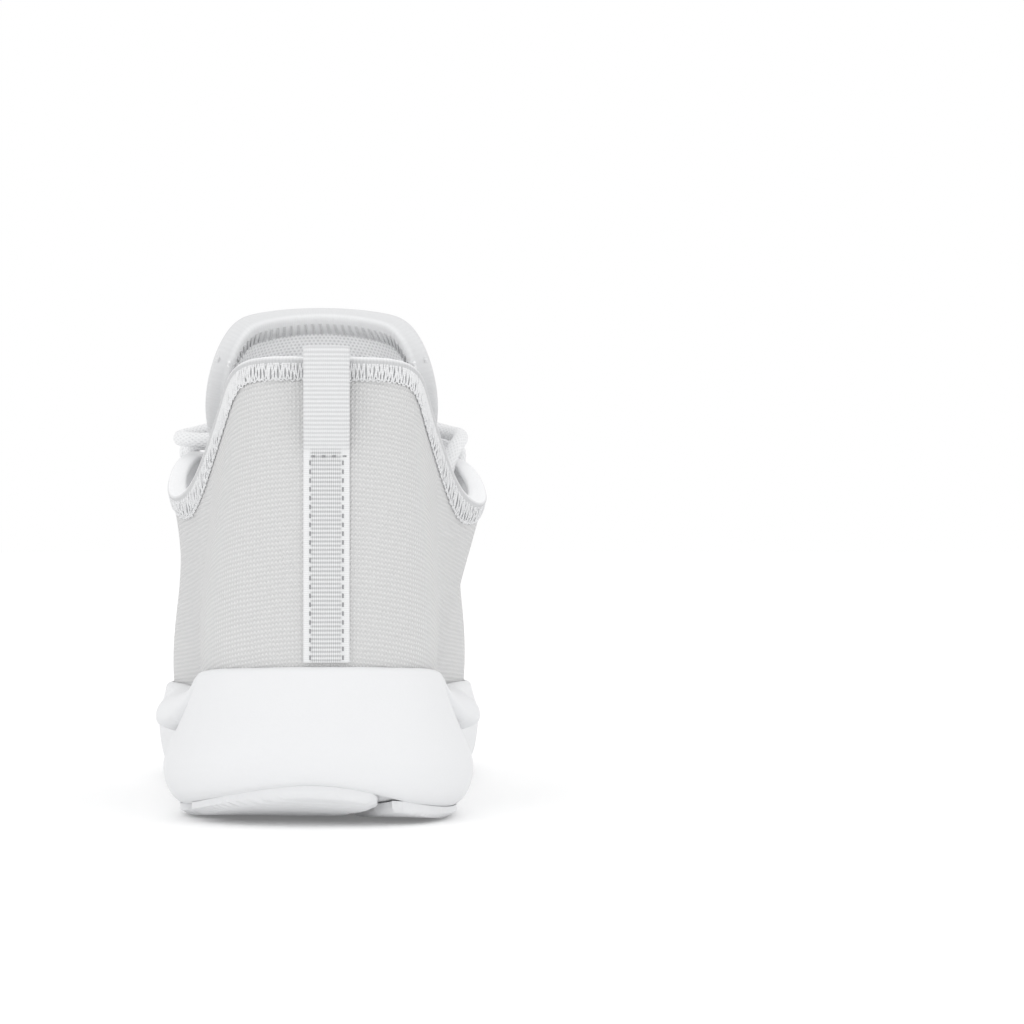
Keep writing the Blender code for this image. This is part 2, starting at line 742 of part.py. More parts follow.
def add_tongue_edge(material, collection, hinge):
    """The rolled rib-knit edge along the tongue's top."""
    thick = BAND_THICKNESS
    gap = GAP + 0.15
    full = sum(TONGUE_LAYERS["lining"]) + gap
    sections = []
    for share in np.linspace(-1, 1, 11):
        top = float(tongue_top(share))
        low = top - TONGUE_ROLL / TONGUE_STEP
        rise = tongue_face(top, share) - tongue_face(top - 0.05, share)
        rise = rise / np.linalg.norm(rise)
        section = []
        for extra, order in ((thick, 1), (0.0, -1)):
            over = rise * (gap + extra + 0.5 * abs(share))
            outer, inner = -gap - extra, full + extra
            leg = [
                tongue_point(low, share, outer), tongue_point(top, share, outer) + over,
                tongue_point(top, share, inner) + over, tongue_point(low, share, inner),
            ]
            section += leg[::order]
        sections.append(section)
    hang_on(add_sweep("tongue_edge_band", sections, material, collection), hinge)


# ---------------------------------------------------------------- pull tab


def heel_point(x, z, out):
    """A point off the back of the heel, at x and z, standing out of the knit."""
    t, s = place_on_wall((x, z), (0, 2), -x / 18, 0.5)
    return under_wall(t, s, -out)


def add_pull_tab(material, collection, hinge):
    half = WEBBING_WIDTH / 2
    across = np.linspace(-half, half, 5)
    up = np.linspace(STRAP_FOOT, STRAP_TOP, 8)
    grid = [[heel_point(x, z, GAP + WEBBING) for z in up] for x in across]
    add_sheet("pull_tab_strap", grid[::-1], WEBBING, material, collection)

    inner = GAP * 2 + BAND_THICKNESS + 0.1 + WEBBING / 2
    outer = inner + WEBBING + LOOP_GAP
    top = LOOP_TOP - WEBBING / 2 - (outer - inner) / 2
    sections = []
    for x in across:
        path = [(LOOP_FOOT, inner), (104, inner), (111, inner), (118, inner), (top, inner)]
        turn = [
            (top + math.sin(angle) * (outer - inner) / 2,
             (inner + outer) / 2 - math.cos(angle) * (outer - inner) / 2)
            for angle in np.linspace(0, math.pi, 7)[1:-1]
        ]
        path += turn + [(top, outer), (118, outer), (111, outer), (104, outer - 0.5),
                        (LOOP_FOOT, inner + WEBBING + GAP)]
        line = []
        for z, out in path:
            at = heel_point(x, min(z, 120.0), 0.0)
            line.append(np.array([x, at[1] - out, z]))
        line = np.array(line)
        along = np.gradient(line[:, 1:], axis=0)
        along = along / np.linalg.norm(along, axis=1, keepdims=True)
        side = np.stack([0 * line[:, 0], along[:, 1], -along[:, 0]], -1) * WEBBING / 2
        sections.append(np.concatenate([line + side, (line - side)[::-1]]))
    hang_on(add_strip("pull_tab_loop", sections, material, collection), hinge)


def add_strip(name, sections, material, collection):
    """A sweep whose sections are long thin outlines, with laddered ends."""

    def build(bm):
        loops = [add_ring(bm, section) for section in sections]
        for first, second in zip(loops, loops[1:]):
            bridge(bm, first, second)
        for loop, flip in ((loops[0], True), (loops[-1], False)):
            for i in range(len(loop) // 2 - 1):
                corners = [loop[i], loop[i + 1], loop[-i - 2], loop[-i - 1]]
                bm.faces.new(corners[::-1] if flip else corners)
        bmesh.ops.recalc_face_normals(bm, faces=bm.faces[:])

    return mesh_object(name, mesh_from(name, build), material, collection)


# ---------------------------------------------------------------- laces


def tongue_height(x, y):
    """Height of the tongue's outer face at x and y."""
    v, share = np.meshgrid(np.linspace(0, TONGUE_FOLD, 160), np.linspace(-1, 1, 81))
    face = tongue_face(v, share)
    nearest = np.argmin((face[..., 0] - x) ** 2 + (face[..., 1] - y) ** 2)
    return face.reshape(-1, 3)[nearest][2]


def eyelet_pass(place, last):
    """Lace points over the quarter and into an eyelet, then out of it and under the quarter."""
    centre, axis, to_edge = eyelet_frame(place)
    side = math.copysign(1, place)
    turn = 2.6
    corner = turn * (1 - math.cos(math.pi / 4))

    def run(height, into, slant):
        """From past the quarter's edge, along its face and round into the eyelet's bore."""
        near, far = (
            under_wall(t, float(s_below_top(np.array(t), below)), -height)
            for t, below in ((place + slant * side, 1.0), (place + 0.4 * slant * side, 5.5))
        )
        return [
            near + (near - far) * (0.6 if into < 0 else 1.0), near, centre + to_edge * turn + axis * height,
            centre + to_edge * corner + axis * (height - into * (turn - corner)),
            centre + axis * (height - into * turn),
        ][:: 1 if into > 0 else -1]

    return run(OVER_QUARTER, 1, -0.1), run(-UNDER_QUARTER, -1, 0 if last else 0.16)


def lacing_path():
    """The lace from the knot down one zigzag, across below the last eyelets and back up."""
    rows = list(range(len(EYELET_STATIONS)))
    eyelets = {
        side: [eyelet_frame(sign * EYELET_STATIONS[row])[0] for row in rows]
        for side, sign in (("outer", 1), ("inner", -1))
    }

    def middle(row, raised):
        y = np.mean([eyelets[side][r][1] for side in eyelets for r in (row, row + 1)])
        return np.array([0, y, tongue_height(0, y) + LACE_RADIUS + 0.6 + 5.0 * raised])

    def half_lace(side, lead):
        """From the knot to under the last eyelet of one zigzag."""
        points = [lead]
        for row in rows:
            place = EYELET_STATIONS[row] * (1 if side == "outer" else -1)
            over, under = eyelet_pass(place, last=row == rows[-1])
            points += over + under
            if row < rows[-1]:
                points.append(middle(row, raised=(row % 2 == 0) == (side == "outer")))
            side = "inner" if side == "outer" else "outer"
        return points

    y = eyelets["outer"][-1][1]
    bar = np.array([0, y, tongue_height(0, y) + LACE_RADIUS + 0.6])
    down = half_lace("outer", np.array(KNOT) + (-7.0, 3.6, -2.6))
    up = half_lace("inner", np.array(KNOT) + (7.0, 3.6, -2.6))
    return down + [bar] + up[::-1]


KNOT = (0, -12.2, 107.2)
KNOT_SIZE = (4.6, 4.0, 3.9)
BOW_OUTER = [
    (-7.2, -13, 109), (-20, -11.5, 109.5), (-33, -13, 106.5), (-40, -16.5, 104.6),
    (-42.6, -21.5, 103.6), (-40, -26, 103), (-33, -27.5, 103), (-25, -25, 106),
    (-15, -19.8, 110), (-7.0, -16.5, 111),
]
BOW_INNER = [
    (7.2, -13, 109), (18, -10.5, 110), (29, -11, 107.5), (36.2, -14, 105.3), (39.3, -19, 104.3),
    (38.4, -25, 102), (35.8, -29.6, 97.4), (34.6, -31.3, 91.8), (34.1, -29.8, 88.2),
    (33.3, -26.4, 87.2), (32.6, -23.3, 89.5), (32.2, -22, 94.5), (30.8, -21.6, 99.5),
    (25.5, -22.8, 105.5), (15, -19.8, 109.8), (7.0, -16.5, 111),
]
# Loose ends: from the knot, then (place round the shoe, distance below the edge, height).
END_OUTER = [(6.8, 1, 15), (7.05, 10, 11.5), (7.4, 19, 6.5), (7.8, 27, 3.6), (8.1, 33, 3.2)]
END_INNER = [(-7.0, 1, 15), (-7.3, 11, 11.5), (-7.7, 21, 6), (-8.1, 29, 3.6), (-8.45, 34, 3.2)]
AGLET_LENGTH, AGLET_RADIUS = 20.0, 2.0


def smooth_path(points, spacing):
    """Evenly spaced points along a smooth curve through the given ones."""
    curve = spline(points)
    fine = curve(np.linspace(0, len(points) - 1, 40 * len(points)))
    along = np.concatenate([[0], np.cumsum(np.linalg.norm(np.diff(fine, axis=0), axis=1))])
    marks = np.linspace(0, along[-1], max(2, round(along[-1] / spacing)) + 1)
    return np.stack([np.interp(marks, along, fine[:, k]) for k in range(3)], -1)


def add_knot(material, collection):
    sections = []
    for along in np.linspace(-1, 1, 9)[1:-1]:
        ring = []
        for k in range(10):
            angle = 2 * math.pi * k / 10
            size = math.sqrt(1 - along**2)
            ring.append(np.array(KNOT) + (
                KNOT_SIZE[0] * along,
                KNOT_SIZE[1] * size * math.cos(angle),
                KNOT_SIZE[2] * size * math.sin(angle),
            ))
        sections.append(ring)
    add_sweep("lace_knot", sections, material, collection)


def add_laces(lace, aglet, collection):
    add_tube("lace_lacing", lacing_path(), LACE_RADIUS, lace, collection)
    add_knot(lace, collection)
    add_tube("bow_loop_outer", smooth_path(BOW_OUTER, 4.5), LACE_RADIUS, lace, collection)
    add_tube("bow_loop_inner", smooth_path(BOW_INNER, 4.5), LACE_RADIUS, lace, collection)
    for side, sign, marks in (("outer", -1, END_OUTER), ("inner", 1, END_INNER)):
        start = np.array(KNOT) + (4.5 * sign, 7.2, 2.6)
        points = [start, start + (6 * sign, 4.5, 1.5)]
        for t, distance, height in marks:
            points.append(under_wall(t, float(s_below_top(np.array(t), distance)), -height))
        path = smooth_path(points, 5.0)
        add_tube(f"lace_end_{side}", path, LACE_RADIUS, lace, collection)
        ahead = (path[-1] - path[-2]) / np.linalg.norm(path[-1] - path[-2])
        first = path[-1] + ahead * GAP
        tip = [first + ahead * AGLET_LENGTH * k / 4 for k in range(5)]
        add_tube(f"aglet_{side}", tip, AGLET_RADIUS, aglet, collection)


def main():
    for obj in list(bpy.data.objects):
        bpy.data.objects.remove(obj)
    scene = bpy.context.scene.collection
    shoe = bpy.data.collections.new("running_shoe")
    cutters = bpy.data.collections.new("cutters")
    scene.children.link(shoe)
    scene.children.link(cutters)

    foam = new_material("foam", WHITE, 0.55)
    rubber = new_material("rubber", WHITE, 0.6)
    knit = new_material("knit", GREY_KNIT, 0.9)
    mesh_cloth = new_material("mesh_lining", LINING_GREY, 0.9)
    white_cloth = new_material("white_fabric", WHITE, 0.85)
    board = new_material("board", BOARD, 0.8)
    lace = new_material("lace", WHITE, 0.85)
    aglet = new_material("aglet", WHITE, 0.3)

    add_midsole(foam, shoe)
    for name, spans in PADS.items():
        add_pad(name, spans, rubber, shoe)
    add_footbed_plate("lasting_board", 4.6, 0.35, 1.3, board, shoe)
    add_footbed_plate("insole", 5.0, 2.0, 4.5, mesh_cloth, shoe)
    add_upper_shells(knit, mesh_cloth, shoe)
    add_stiffeners(board, shoe)
    add_collar_foam(foam, shoe)
    add_collar_band(white_cloth, shoe)
    add_eyestays(white_cloth, shoe)
    add_eyelets(white_cloth, shoe)
    tongue_hinge = add_hinge("tongue_hinge", (0, *TONGUE_LINE[TONGUE_FOLD]), shoe)
    add_tongue({"knit": knit, "foam": foam, "lining": mesh_cloth}, shoe, tongue_hinge)
    add_tongue_edge(white_cloth, shoe, tongue_hinge)
    tab_hinge = add_hinge("pull_tab_hinge", heel_point(0, TAB_HINGE_HEIGHT, GAP + WEBBING), shoe)
    add_pull_tab(white_cloth, shoe, tab_hinge)
    add_laces(lace, aglet, shoe)
    cut_eyelet_holes(
        ("upper_knit", "upper_lining", "eyestay_outer", "eyestay_inner"), cutters
    )


main()
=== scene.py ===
"""Looks of the left running shoe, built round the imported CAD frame.

Lengths are in millimetres, measured from the heel's centre line as the CAD design has them,
and become metres in the row frame as each mesh is made. A place round the shoe is a station
number t, 0 at the heel, down the outer side to TOE and back along the inner side to STATIONS;
s runs up the upper's wall from the foam, 0, to its top, 1.
"""

import math

import bmesh
import bpy
import numpy as np
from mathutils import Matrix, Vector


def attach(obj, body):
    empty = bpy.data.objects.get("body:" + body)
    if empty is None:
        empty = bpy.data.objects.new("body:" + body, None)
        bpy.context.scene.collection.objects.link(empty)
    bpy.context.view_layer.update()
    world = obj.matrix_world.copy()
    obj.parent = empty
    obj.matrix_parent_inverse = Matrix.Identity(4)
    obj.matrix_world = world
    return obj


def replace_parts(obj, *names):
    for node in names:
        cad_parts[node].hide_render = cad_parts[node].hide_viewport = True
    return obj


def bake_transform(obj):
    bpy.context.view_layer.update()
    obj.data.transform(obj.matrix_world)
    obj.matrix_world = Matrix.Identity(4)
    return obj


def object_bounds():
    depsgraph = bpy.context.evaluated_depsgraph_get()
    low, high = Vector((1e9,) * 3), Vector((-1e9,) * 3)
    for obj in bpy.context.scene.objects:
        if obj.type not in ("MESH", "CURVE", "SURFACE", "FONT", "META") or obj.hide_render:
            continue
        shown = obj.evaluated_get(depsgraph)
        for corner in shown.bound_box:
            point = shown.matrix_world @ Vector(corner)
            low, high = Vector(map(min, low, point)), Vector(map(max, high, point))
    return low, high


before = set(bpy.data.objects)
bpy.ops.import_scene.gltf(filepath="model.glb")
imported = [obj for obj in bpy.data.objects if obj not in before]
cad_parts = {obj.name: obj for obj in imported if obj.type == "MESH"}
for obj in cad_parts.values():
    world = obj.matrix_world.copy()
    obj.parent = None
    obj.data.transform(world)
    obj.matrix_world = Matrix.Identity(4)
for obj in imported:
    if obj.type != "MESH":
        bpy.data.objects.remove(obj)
cad_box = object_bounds()

MM = 0.001
HEEL_LINE = (2.1, 1.8, 0.0)
TOE = 11
STATIONS = 2 * TOE
THROAT_END, THROAT_TURN = 9, 8.2
CLOTH_UV = "cloth_mm"
STEP, HAIR = 1e-3, 1e-6
SIDES = (("outer", 1), ("inner", -1))

# ---------------------------------------------------------------- the design's own tables

FEATHER_OUTER = [
    (0, -137), (-19.5, -131.5), (-31, -115), (-33.5, -89), (-34, -60), (-36.5, -29),
    (-41.5, 3), (-46, 34), (-45.5, 65), (-39.5, 93), (-25, 120), (-1, 133.5),
]
FEATHER_INNER = [
    (18, -131.5), (27.5, -115), (29, -89), (29, -60), (31, -29),
    (36, 4), (41, 35), (42, 65), (37.5, 92), (25, 118.5),
]
OPENING_OUTER = [
    (0, -137.5, 121.2), (-20, -132, 120.8), (-26.8, -118, 112.5), (-32, -98, 98.5),
    (-38.5, -73, 87.3), (-44.4, -45, 88.5), (-39.5, -19, 99), (-26.5, 9, 93.5),
    (-18.5, 35, 82.5), (0, 57, 71),
]
OPENING_INNER = [
    (20, -132, 120.4), (26.4, -118, 112), (31.5, -98, 98), (38.5, -73, 86),
    (45, -45, 86.3), (39, -19, 97), (26.5, 9, 93), (18.5, 35, 82.5),
]
TREAD_OUTER = [8.0, 5.6, 1.6, 0.1, 0, 0, 0, 0, 0, 0.8, 4.6, 10.5]
TREAD_INNER = [3.2, 0.5, 0, 0, 0, 0, 0, 0, 0.8, 4.6]
FOOTBED = [31, 30.5, 30, 29.5, 28, 26, 24, 22, 20.5, 20, 21.5, 24.5]
RIM = [41.2, 40.6, 39, 34.5, 31.5, 30.5, 30, 29, 28, 27.5, 29.5, 34]
FOOT_OUT = [5.5, 4.5, 3.5, 3, 3, 4, 5, 5, 5, 5, 6, 6.5]
FOOT_UP = [34, 34, 30, 26, 24, 25, 32, 34, 30, 26, 23, 20]
TOP_OUT = [-1, -1, -1, -1.5, -3, -4, 2, 10, 15, 23, 23, 22]
TOP_DOWN = [34, 34, 26, 20, 16, 18, 18, 11, 6, 0, 0, 0]
RIDGE_LENGTH, RIDGE_SLOPE, RIDGE_BEND = 48.0, -0.37, -0.0010

SIDE_BACK = [(5.2, 3.0), (7.2, 5.6), (8.0, 13.5), (6.8, 22.0), (4.8, 30.0)]
SIDE_HEEL = [(5.4, 3.0), (8.8, 5.8), (10.8, 13.5), (8.0, 22.0), (5.2, 30.0)]
SIDE_WAIST = [(1.0, 3.0), (4.4, 6.0), (6.0, 11.5), (5.0, 18.0), (4.4, 24.0)]
SIDE_FORE = [(-1.0, 3.0), (3.2, 5.6), (5.0, 12.0), (5.4, 19.0), (4.2, 24.0)]
SIDE_TOE = [(1.0, 3.0), (5.2, 5.6), (7.4, 10.0), (7.9, 15.0), (6.6, 20.0)]
REGION_CHANGES = [(0.3, 1.6), (2.6, 4.4), (5.0, 7.0), (9.0, 10.6)]
RISE_FADE = 31.0
RIM_OUT, RIM_ROUND, RIM_LIP = 3.2, 1.2, 0.6

GAP = 0.3
KNIT = 1.4
LINING_DEPTH, LINING = 2.9, 0.8
COLLAR_PADDING, CLEAR_OF_PADDING = 3.2, 0.2
EDGE_BAND = 4.2
EYESTAY_REACH, EYESTAY_SPAN = 15.7, (6, 8.625)
RUBBER = 2.7

TONGUE_LINE = [(62, 56.5), (40, 69), (15, 82), (-8, 95.5), (-22, 109), (-36, 124), (-46, 139.5)]
TONGUE_HALF_WIDTH = [22, 26, 28, 30, 30.8, 32.8, 27.6]
TONGUE_SAG = [12, 14, 16, 20, 22, 27, 29]
TONGUE_LEAN = [63, 63, 60, 52, 46, 30, 16]
TONGUE_ARC = [50, 62, 75, 80, 80, 80, 80]
TONGUE_FOLD = 4
TONGUE_STEP = 18.0
TONGUE_TOP = len(TONGUE_LINE) - 1
TONGUE_THICKNESS, TONGUE_KNIT, TONGUE_MESH = 4.5, 1.2, 0.8
TONGUE_SHIFT = -1.3

WEBBING_WIDTH, WEBBING = 12.0, 1.0
STRAP_FOOT, LOOP_TOP = 41.8, 125.0
TAB_HINGE_HEIGHT = 97.0
LOOP_NEAR, LOOP_FAR = 1.8, 4.6

LACE_RADIUS, KNOT_LACE_RADIUS = 2.25, 2.0
EYELET_STATIONS = [6.42, 6.96, 7.46, 7.94, 8.38]
EYELET_INSET = 10.0
OVER_QUARTER, UNDER_QUARTER = 4.9, 7.6
EYELET_BORE, EYELET_BARREL, EYELET_FLANGE = 2.85, 3.35, 4.5
EYELET_DEEP, EYELET_PROUD, LACE_TURN = -4.4, 1.2, 2.6

KNOT = (0, -12.2, 107.2)
KNOT_SCALE = (1.45, 2.5, 0.95)
BOW_OUTER = [
    (-7.2, -13, 109), (-20, -11.5, 109.5), (-33, -13, 106.5), (-40, -16.5, 104.6),
    (-42.6, -21.5, 103.6), (-40, -26, 103), (-33, -27.5, 103), (-25, -25, 106),
    (-15, -19.8, 110), (-7.0, -16.5, 111),
]
BOW_INNER = [
    (7.2, -13, 109), (18, -10.5, 110), (29, -11, 107.5), (36.2, -14, 105.3), (39.3, -19, 104.3),
    (38.4, -25, 102), (35.8, -29.6, 97.4), (34.6, -31.3, 91.8), (34.1, -29.8, 88.2),
    (33.3, -26.4, 87.2), (32.6, -23.3, 89.5), (32.2, -22, 94.5), (30.8, -21.6, 99.5),
    (25.5, -22.8, 105.5), (15, -19.8, 109.8), (7.0, -16.5, 111),
]
END_OUTER = [(6.8, 1, 15), (7.05, 10, 11.5), (7.4, 19, 6.5), (7.8, 27, 3.6), (8.1, 33, 3.2)]
END_INNER = [(-7.0, 1, 15), (-7.3, 11, 11.5), (-7.7, 21, 6), (-8.1, 29, 3.6), (-8.45, 34, 3.2)]
AGLET_LENGTH, AGLET_RADIUS = 20.0, 2.0

# ---------------------------------------------------------------- what only the looks need

COLUMNS_A_STATION = 24
WALL_ROWS = 84
FOAM_COLUMNS, FOAM_RINGS = 792, 72
# The foam's crease: down from the rear block's corner, then forward along the side.
CREASE_STATION = [2.05, 2.15, 2.3, 2.5, 2.8, 3.3, 4.0, 5.5, 7.0]
CREASE_HEIGHT = [40.5, 35.5, 29.5, 24.8, 22.6, 21.4, 20.6, 19.6, 19.0]
CREASE_DEPTH, CREASE_WIDTH = 1.4, 1.2
LOBE_OUT = 7.0
BLOCK_DROP = 3.2

# Rounds of smoothing for the ridge of the knit and of the lining.
RIDGE_ROUNDS, LINING_ROUNDS = 170, 45
# Down the collar's sides the overlocked band is wider and its threads stand further apart.
SIDE_WIDENING, SIDE_SPREAD = 3.4, 1.9
# Slant, pitch, upper end and lower end of each layer of overlock threads.
THREAD_LAYERS = [(0.75, 0.95, 0.55, 4.5), (-0.7, 0.95, 0.65, 4.3), (0.1, 1.3, 0.6, 3.6)]
CHAIN_LINES, CHAIN_PITCH = (4.45, 0.75), 1.5
THREAD_POINTS, DASH_POINTS, THREAD_SIDES = 7, 5, 6
# Cloth from the tongue's middle to its edge, and the rounding of its rolled rim.
TONGUE_CLOTH = 34.0
RIM_START, RIM_CORNER, RIM_SPACING = 3.3, 9.0, 0.7

# The pull tab's ribs, its stitch lines, and how far along the webbing its loop starts.
RIB = 1.1
STITCH_LINE, STITCH_PITCH, STITCH = 4.25, 2.3, 1.15
STITCH_OUT, CROSS_STITCH_OUT = 1.32, 1.42
LOOP_FROM, LOOP_FADE = TAB_HINGE_HEIGHT - STRAP_FOOT, 0.8
TAB_ROUNDING, TAB_SPACING = 4, 0.16

# The lace's points stand this far apart. Its leads into the knot start this share of the
# way out from the knot's middle.
LACE_SPACING, LEAD_SHARE, LEAD_ROUNDING = 0.45, 0.45, 1.5
LACE_TIGHT, LACE_LOOSE = 1.2, 7.0
ABOVE_TONGUE, CROSSING_RISE = 0.6, 5.0
BRAID_BUMPS, BRAID_PITCH, BRAID_DEPTH = 8, 2.0, 0.085

SEED = 7
random = np.random.default_rng(SEED)


# ---------------------------------------------------------------- shape of the shoe


def spline(values, closed=False):
    """A smooth curve through evenly spaced values: returns f(t), t counted in values."""
    values = np.asarray(values, float)
    count = len(values)
    before, after = np.roll(values, 1, 0), np.roll(values, -1, 0)
    system = 4 * np.eye(count) + np.roll(np.eye(count), 1, 0) + np.roll(np.eye(count), -1, 0)
    change = 6 * (after - 2 * values + before)
    if not closed:
        system[[0, -1]] = np.eye(count)[[0, -1]]
        change[[0, -1]] = 0
    bend = np.linalg.solve(system, change)

    def at(t):
        t = np.asarray(t, float)
        t = t % count if closed else np.clip(t, 0, count - 1)
        i = np.minimum(np.floor(t).astype(int), count - (1 if closed else 2))
        j = (i + 1) % count
        f = t - i
        if values.ndim == 2:
            f = f[..., None]
        g = 1 - f
        curved = (g**3 - g) * bend[i] + (f**3 - f) * bend[j]
        return g * values[i] + f * values[j] + curved / 6

    return at


def around(outer, inner=None):
    """A spline round the whole shoe from a table for each side, or from one for both."""
    inner = outer[1:-1] if inner is None else inner
    return spline(list(outer) + list(inner)[::-1], closed=True)


feather = around(FEATHER_OUTER, FEATHER_INNER)
opening = spline(OPENING_OUTER + OPENING_INNER[::-1], closed=True)
tread_curve = around(TREAD_OUTER, TREAD_INNER)
footbed = around(FOOTBED)
rim = around(RIM)
foot_out, foot_up = around(FOOT_OUT), around(FOOT_UP)
top_out, top_down = around(TOP_OUT), around(TOP_DOWN)


def tread_bottom(t):
    return np.maximum(tread_curve(t), 0)


def station(t):
    """Station number, 0 to TOE, of a place t round the shoe."""
    t = np.asarray(t, float) % STATIONS
    return np.minimum(t, STATIONS - t)


def smooth_step(x, low, high):
    x = np.clip((np.asarray(x, float) - low) / (high - low), 0, 1)
    return x * x * (3 - 2 * x)


def unit(v):
    return v / np.maximum(np.linalg.norm(v, axis=-1, keepdims=True), 1e-12)


def distances(points, axis=0):
    """How far along its polyline each point is; the polylines run along this axis."""
    steps = np.linalg.norm(np.diff(points, axis=axis), axis=-1)
    return np.insert(np.cumsum(steps, axis), 0, 0, axis)


def read_along(marks, along, points):
    """A polyline's values at distances marks, from its points and their own distances."""
    return np.stack([np.interp(marks, along, column) for column in np.transpose(points)], -1)


def softened(path, width, mode="edge", **ends):
    """A running mean over width points to each side, going on past the ends as asked."""
    padded = np.pad(path, ((width, width), (0, 0)), mode, **ends)
    kernel = np.hanning(2 * width + 3)[1:-1]
    kernel /= kernel.sum()
    return np.stack([np.convolve(column, kernel, "valid") for column in padded.T], -1)


def outward(t):
    """Unit normal of the feather line, seen from above."""
    along = feather(np.asarray(t) + STEP) - feather(np.asarray(t) - STEP)
    return -unit(np.stack([along[..., 1], -along[..., 0], 0 * along[..., 0]], -1))


def wall_top(t):
    """The top of the wall at t: on the opening's edge, or on the vamp's ridge."""
    t = np.asarray(t, float) % STATIONS
    u = station(t)
    edge = opening(np.where(t <= TOE, np.minimum(u, THROAT_END), -np.minimum(u, THROAT_END)))
    ahead = np.clip(u - THROAT_END, 0, None) / (TOE - THROAT_END) * RIDGE_LENGTH
    ridge = np.array(OPENING_OUTER[THROAT_END], float) + np.stack(
        [0 * ahead, ahead, RIDGE_SLOPE * ahead + RIDGE_BEND * ahead**2], -1
    )
    return np.where((u < THROAT_END)[..., None], edge, ridge), ahead


def wall(t, s):
    """Point of the upper's outer face at t, from s = 0 at the foam to s = 1 at the top."""
    t, s = np.broadcast_arrays(np.asarray(t, float), np.asarray(s, float))
    base = np.concatenate([feather(t), (footbed(t) + 0.4)[..., None]], -1)
    top, ahead = wall_top(t)
    out = outward(t)
    up = np.array([0, 0, 1.0])
    slope = (RIDGE_SLOPE + 2 * RIDGE_BEND * ahead) * out[..., 1] * smooth_step(station(t), 8, 9)
    low = base + out * foot_out(t)[..., None] + up * foot_up(t)[..., None]
    high = (
        top + out * top_out(t)[..., None]
        + up * (slope * top_out(t) - top_down(t) * (station(t) < THROAT_END))[..., None]
    )
    s = s[..., None]
    r = 1 - s
    return r**3 * base + 3 * r * r * s * low + 3 * r * s * s * high + s**3 * top


def wall_normal(t, s):
    s = np.clip(np.asarray(s, float), 0, 1 - 2 * STEP)
    across = wall(np.asarray(t) + STEP, s) - wall(np.asarray(t) - STEP, s)
    return unit(np.cross(wall(t, s + STEP) - wall(t, s - STEP), across))


def under_wall(t, s, depth):
    """Point of the upper at a depth below its outer face."""
    t, s, depth = np.broadcast_arrays(*(np.asarray(x, float) for x in (t, s, depth)))
    return wall(t, s) - wall_normal(t, s) * depth[..., None]


def wall_length(t):
    line = wall(np.asarray(t, float)[..., None], np.linspace(0, 1, 25))
    return np.linalg.norm(np.diff(line, axis=-2), axis=-1).sum(-1)


def s_below_top(t, distance):
    """The s that lies this distance below the wall's top."""
    share = distance / wall_length(t)
    return 1 - share * (1 + 0.15 * share)


def place_on_wall(target, axes, t, s):
    """Solve for the (t, s) whose two coordinates, such as (x, z), are the target's."""
    at = np.array([t, s], float)
    axes = list(axes)
    for _ in range(12):
        here = wall(*at)[axes]
        slopes = np.stack([
            (wall(at[0] + 1e-4, at[1])[axes] - here) / 1e-4,
            (here - wall(at[0], at[1] - 1e-4)[axes]) / 1e-4,
        ], -1)
        at = at + np.linalg.solve(slopes, np.asarray(target) - here)
        at[1] = min(at[1], 1.0)
    return at


def collar(t):
    """1 round the collar, fading to 0 along the throat."""
    return 1 - smooth_step(station(t), 4.0, 5.6)


def lining_depth(t, s):
    swell = smooth_step(s, 0.42, 0.66) * (1 - 0.75 * smooth_step(s, 0.86, 1.0))
    return LINING_DEPTH + COLLAR_PADDING * collar(t) * swell


# ---------------------------------------------------------------- making meshes


def in_metres(points):
    return (np.asarray(points, float) + HEEL_LINE) * MM


def add_piece(name, mesh, look, body="shoe", sharp=50):
    """An object for a finished mesh, riding on a body; body None leaves it on no body."""
    mesh.shade_smooth()
    mesh.set_sharp_from_angle(angle=math.radians(sharp))
    mesh.materials.append(look.material)
    obj = bpy.data.objects.new(name, mesh)
    bpy.context.scene.collection.objects.link(obj)
    if body is not None:
        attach(obj, body)
    return obj


def mesh_of(name, points, faces, uv):
    """A mesh from points in mm, faces of any size, and a uv in mm for each face corner."""
    mesh = bpy.data.meshes.new(name)
    mesh.from_pydata(in_metres(points).tolist(), [], faces)
    layer = mesh.uv_layers.new(name=CLOTH_UV)
    layer.data.foreach_set("uv", np.asarray(uv, np.float32).ravel())
    return mesh


def grid_quads(columns, rows, wrap):
    """Corners of the quads of a grid, as (column, row) numbers; wrap joins the last column."""
    c, r = np.meshgrid(np.arange(columns - (not wrap)), np.arange(rows - 1), indexing="ij")
    corners = [(c, r), (c, r + 1), (c + 1, r + 1), (c + 1, r)]
    return np.stack([np.stack(corner, -1) for corner in corners], 2).reshape(-1, 4, 2)


def grid_mesh(name, points, uv, wrap=False):
    """An open surface from points[column][row]; uv has one column more where it wraps."""
    columns, rows = points.shape[:2]
    quads = grid_quads(columns, rows, wrap)
    faces = (quads[..., 0] % columns) * rows + quads[..., 1]
    corner_uv = uv[quads[..., 0], quads[..., 1]]
    return mesh_of(name, points.reshape(-1, 3), faces.tolist(), corner_uv)


def opened(mesh):
    """A mesh's editable copy, for write_back."""
    bm = bmesh.new()
    bm.from_mesh(mesh)
    return bm


def write_back(bm, mesh, outwards=True):
    """Puts an edited copy back in its mesh, its faces turned outwards if asked."""
    if outwards:
        bmesh.ops.recalc_face_normals(bm, faces=bm.faces[:])
    bm.to_mesh(mesh)
    bm.free()
    return mesh


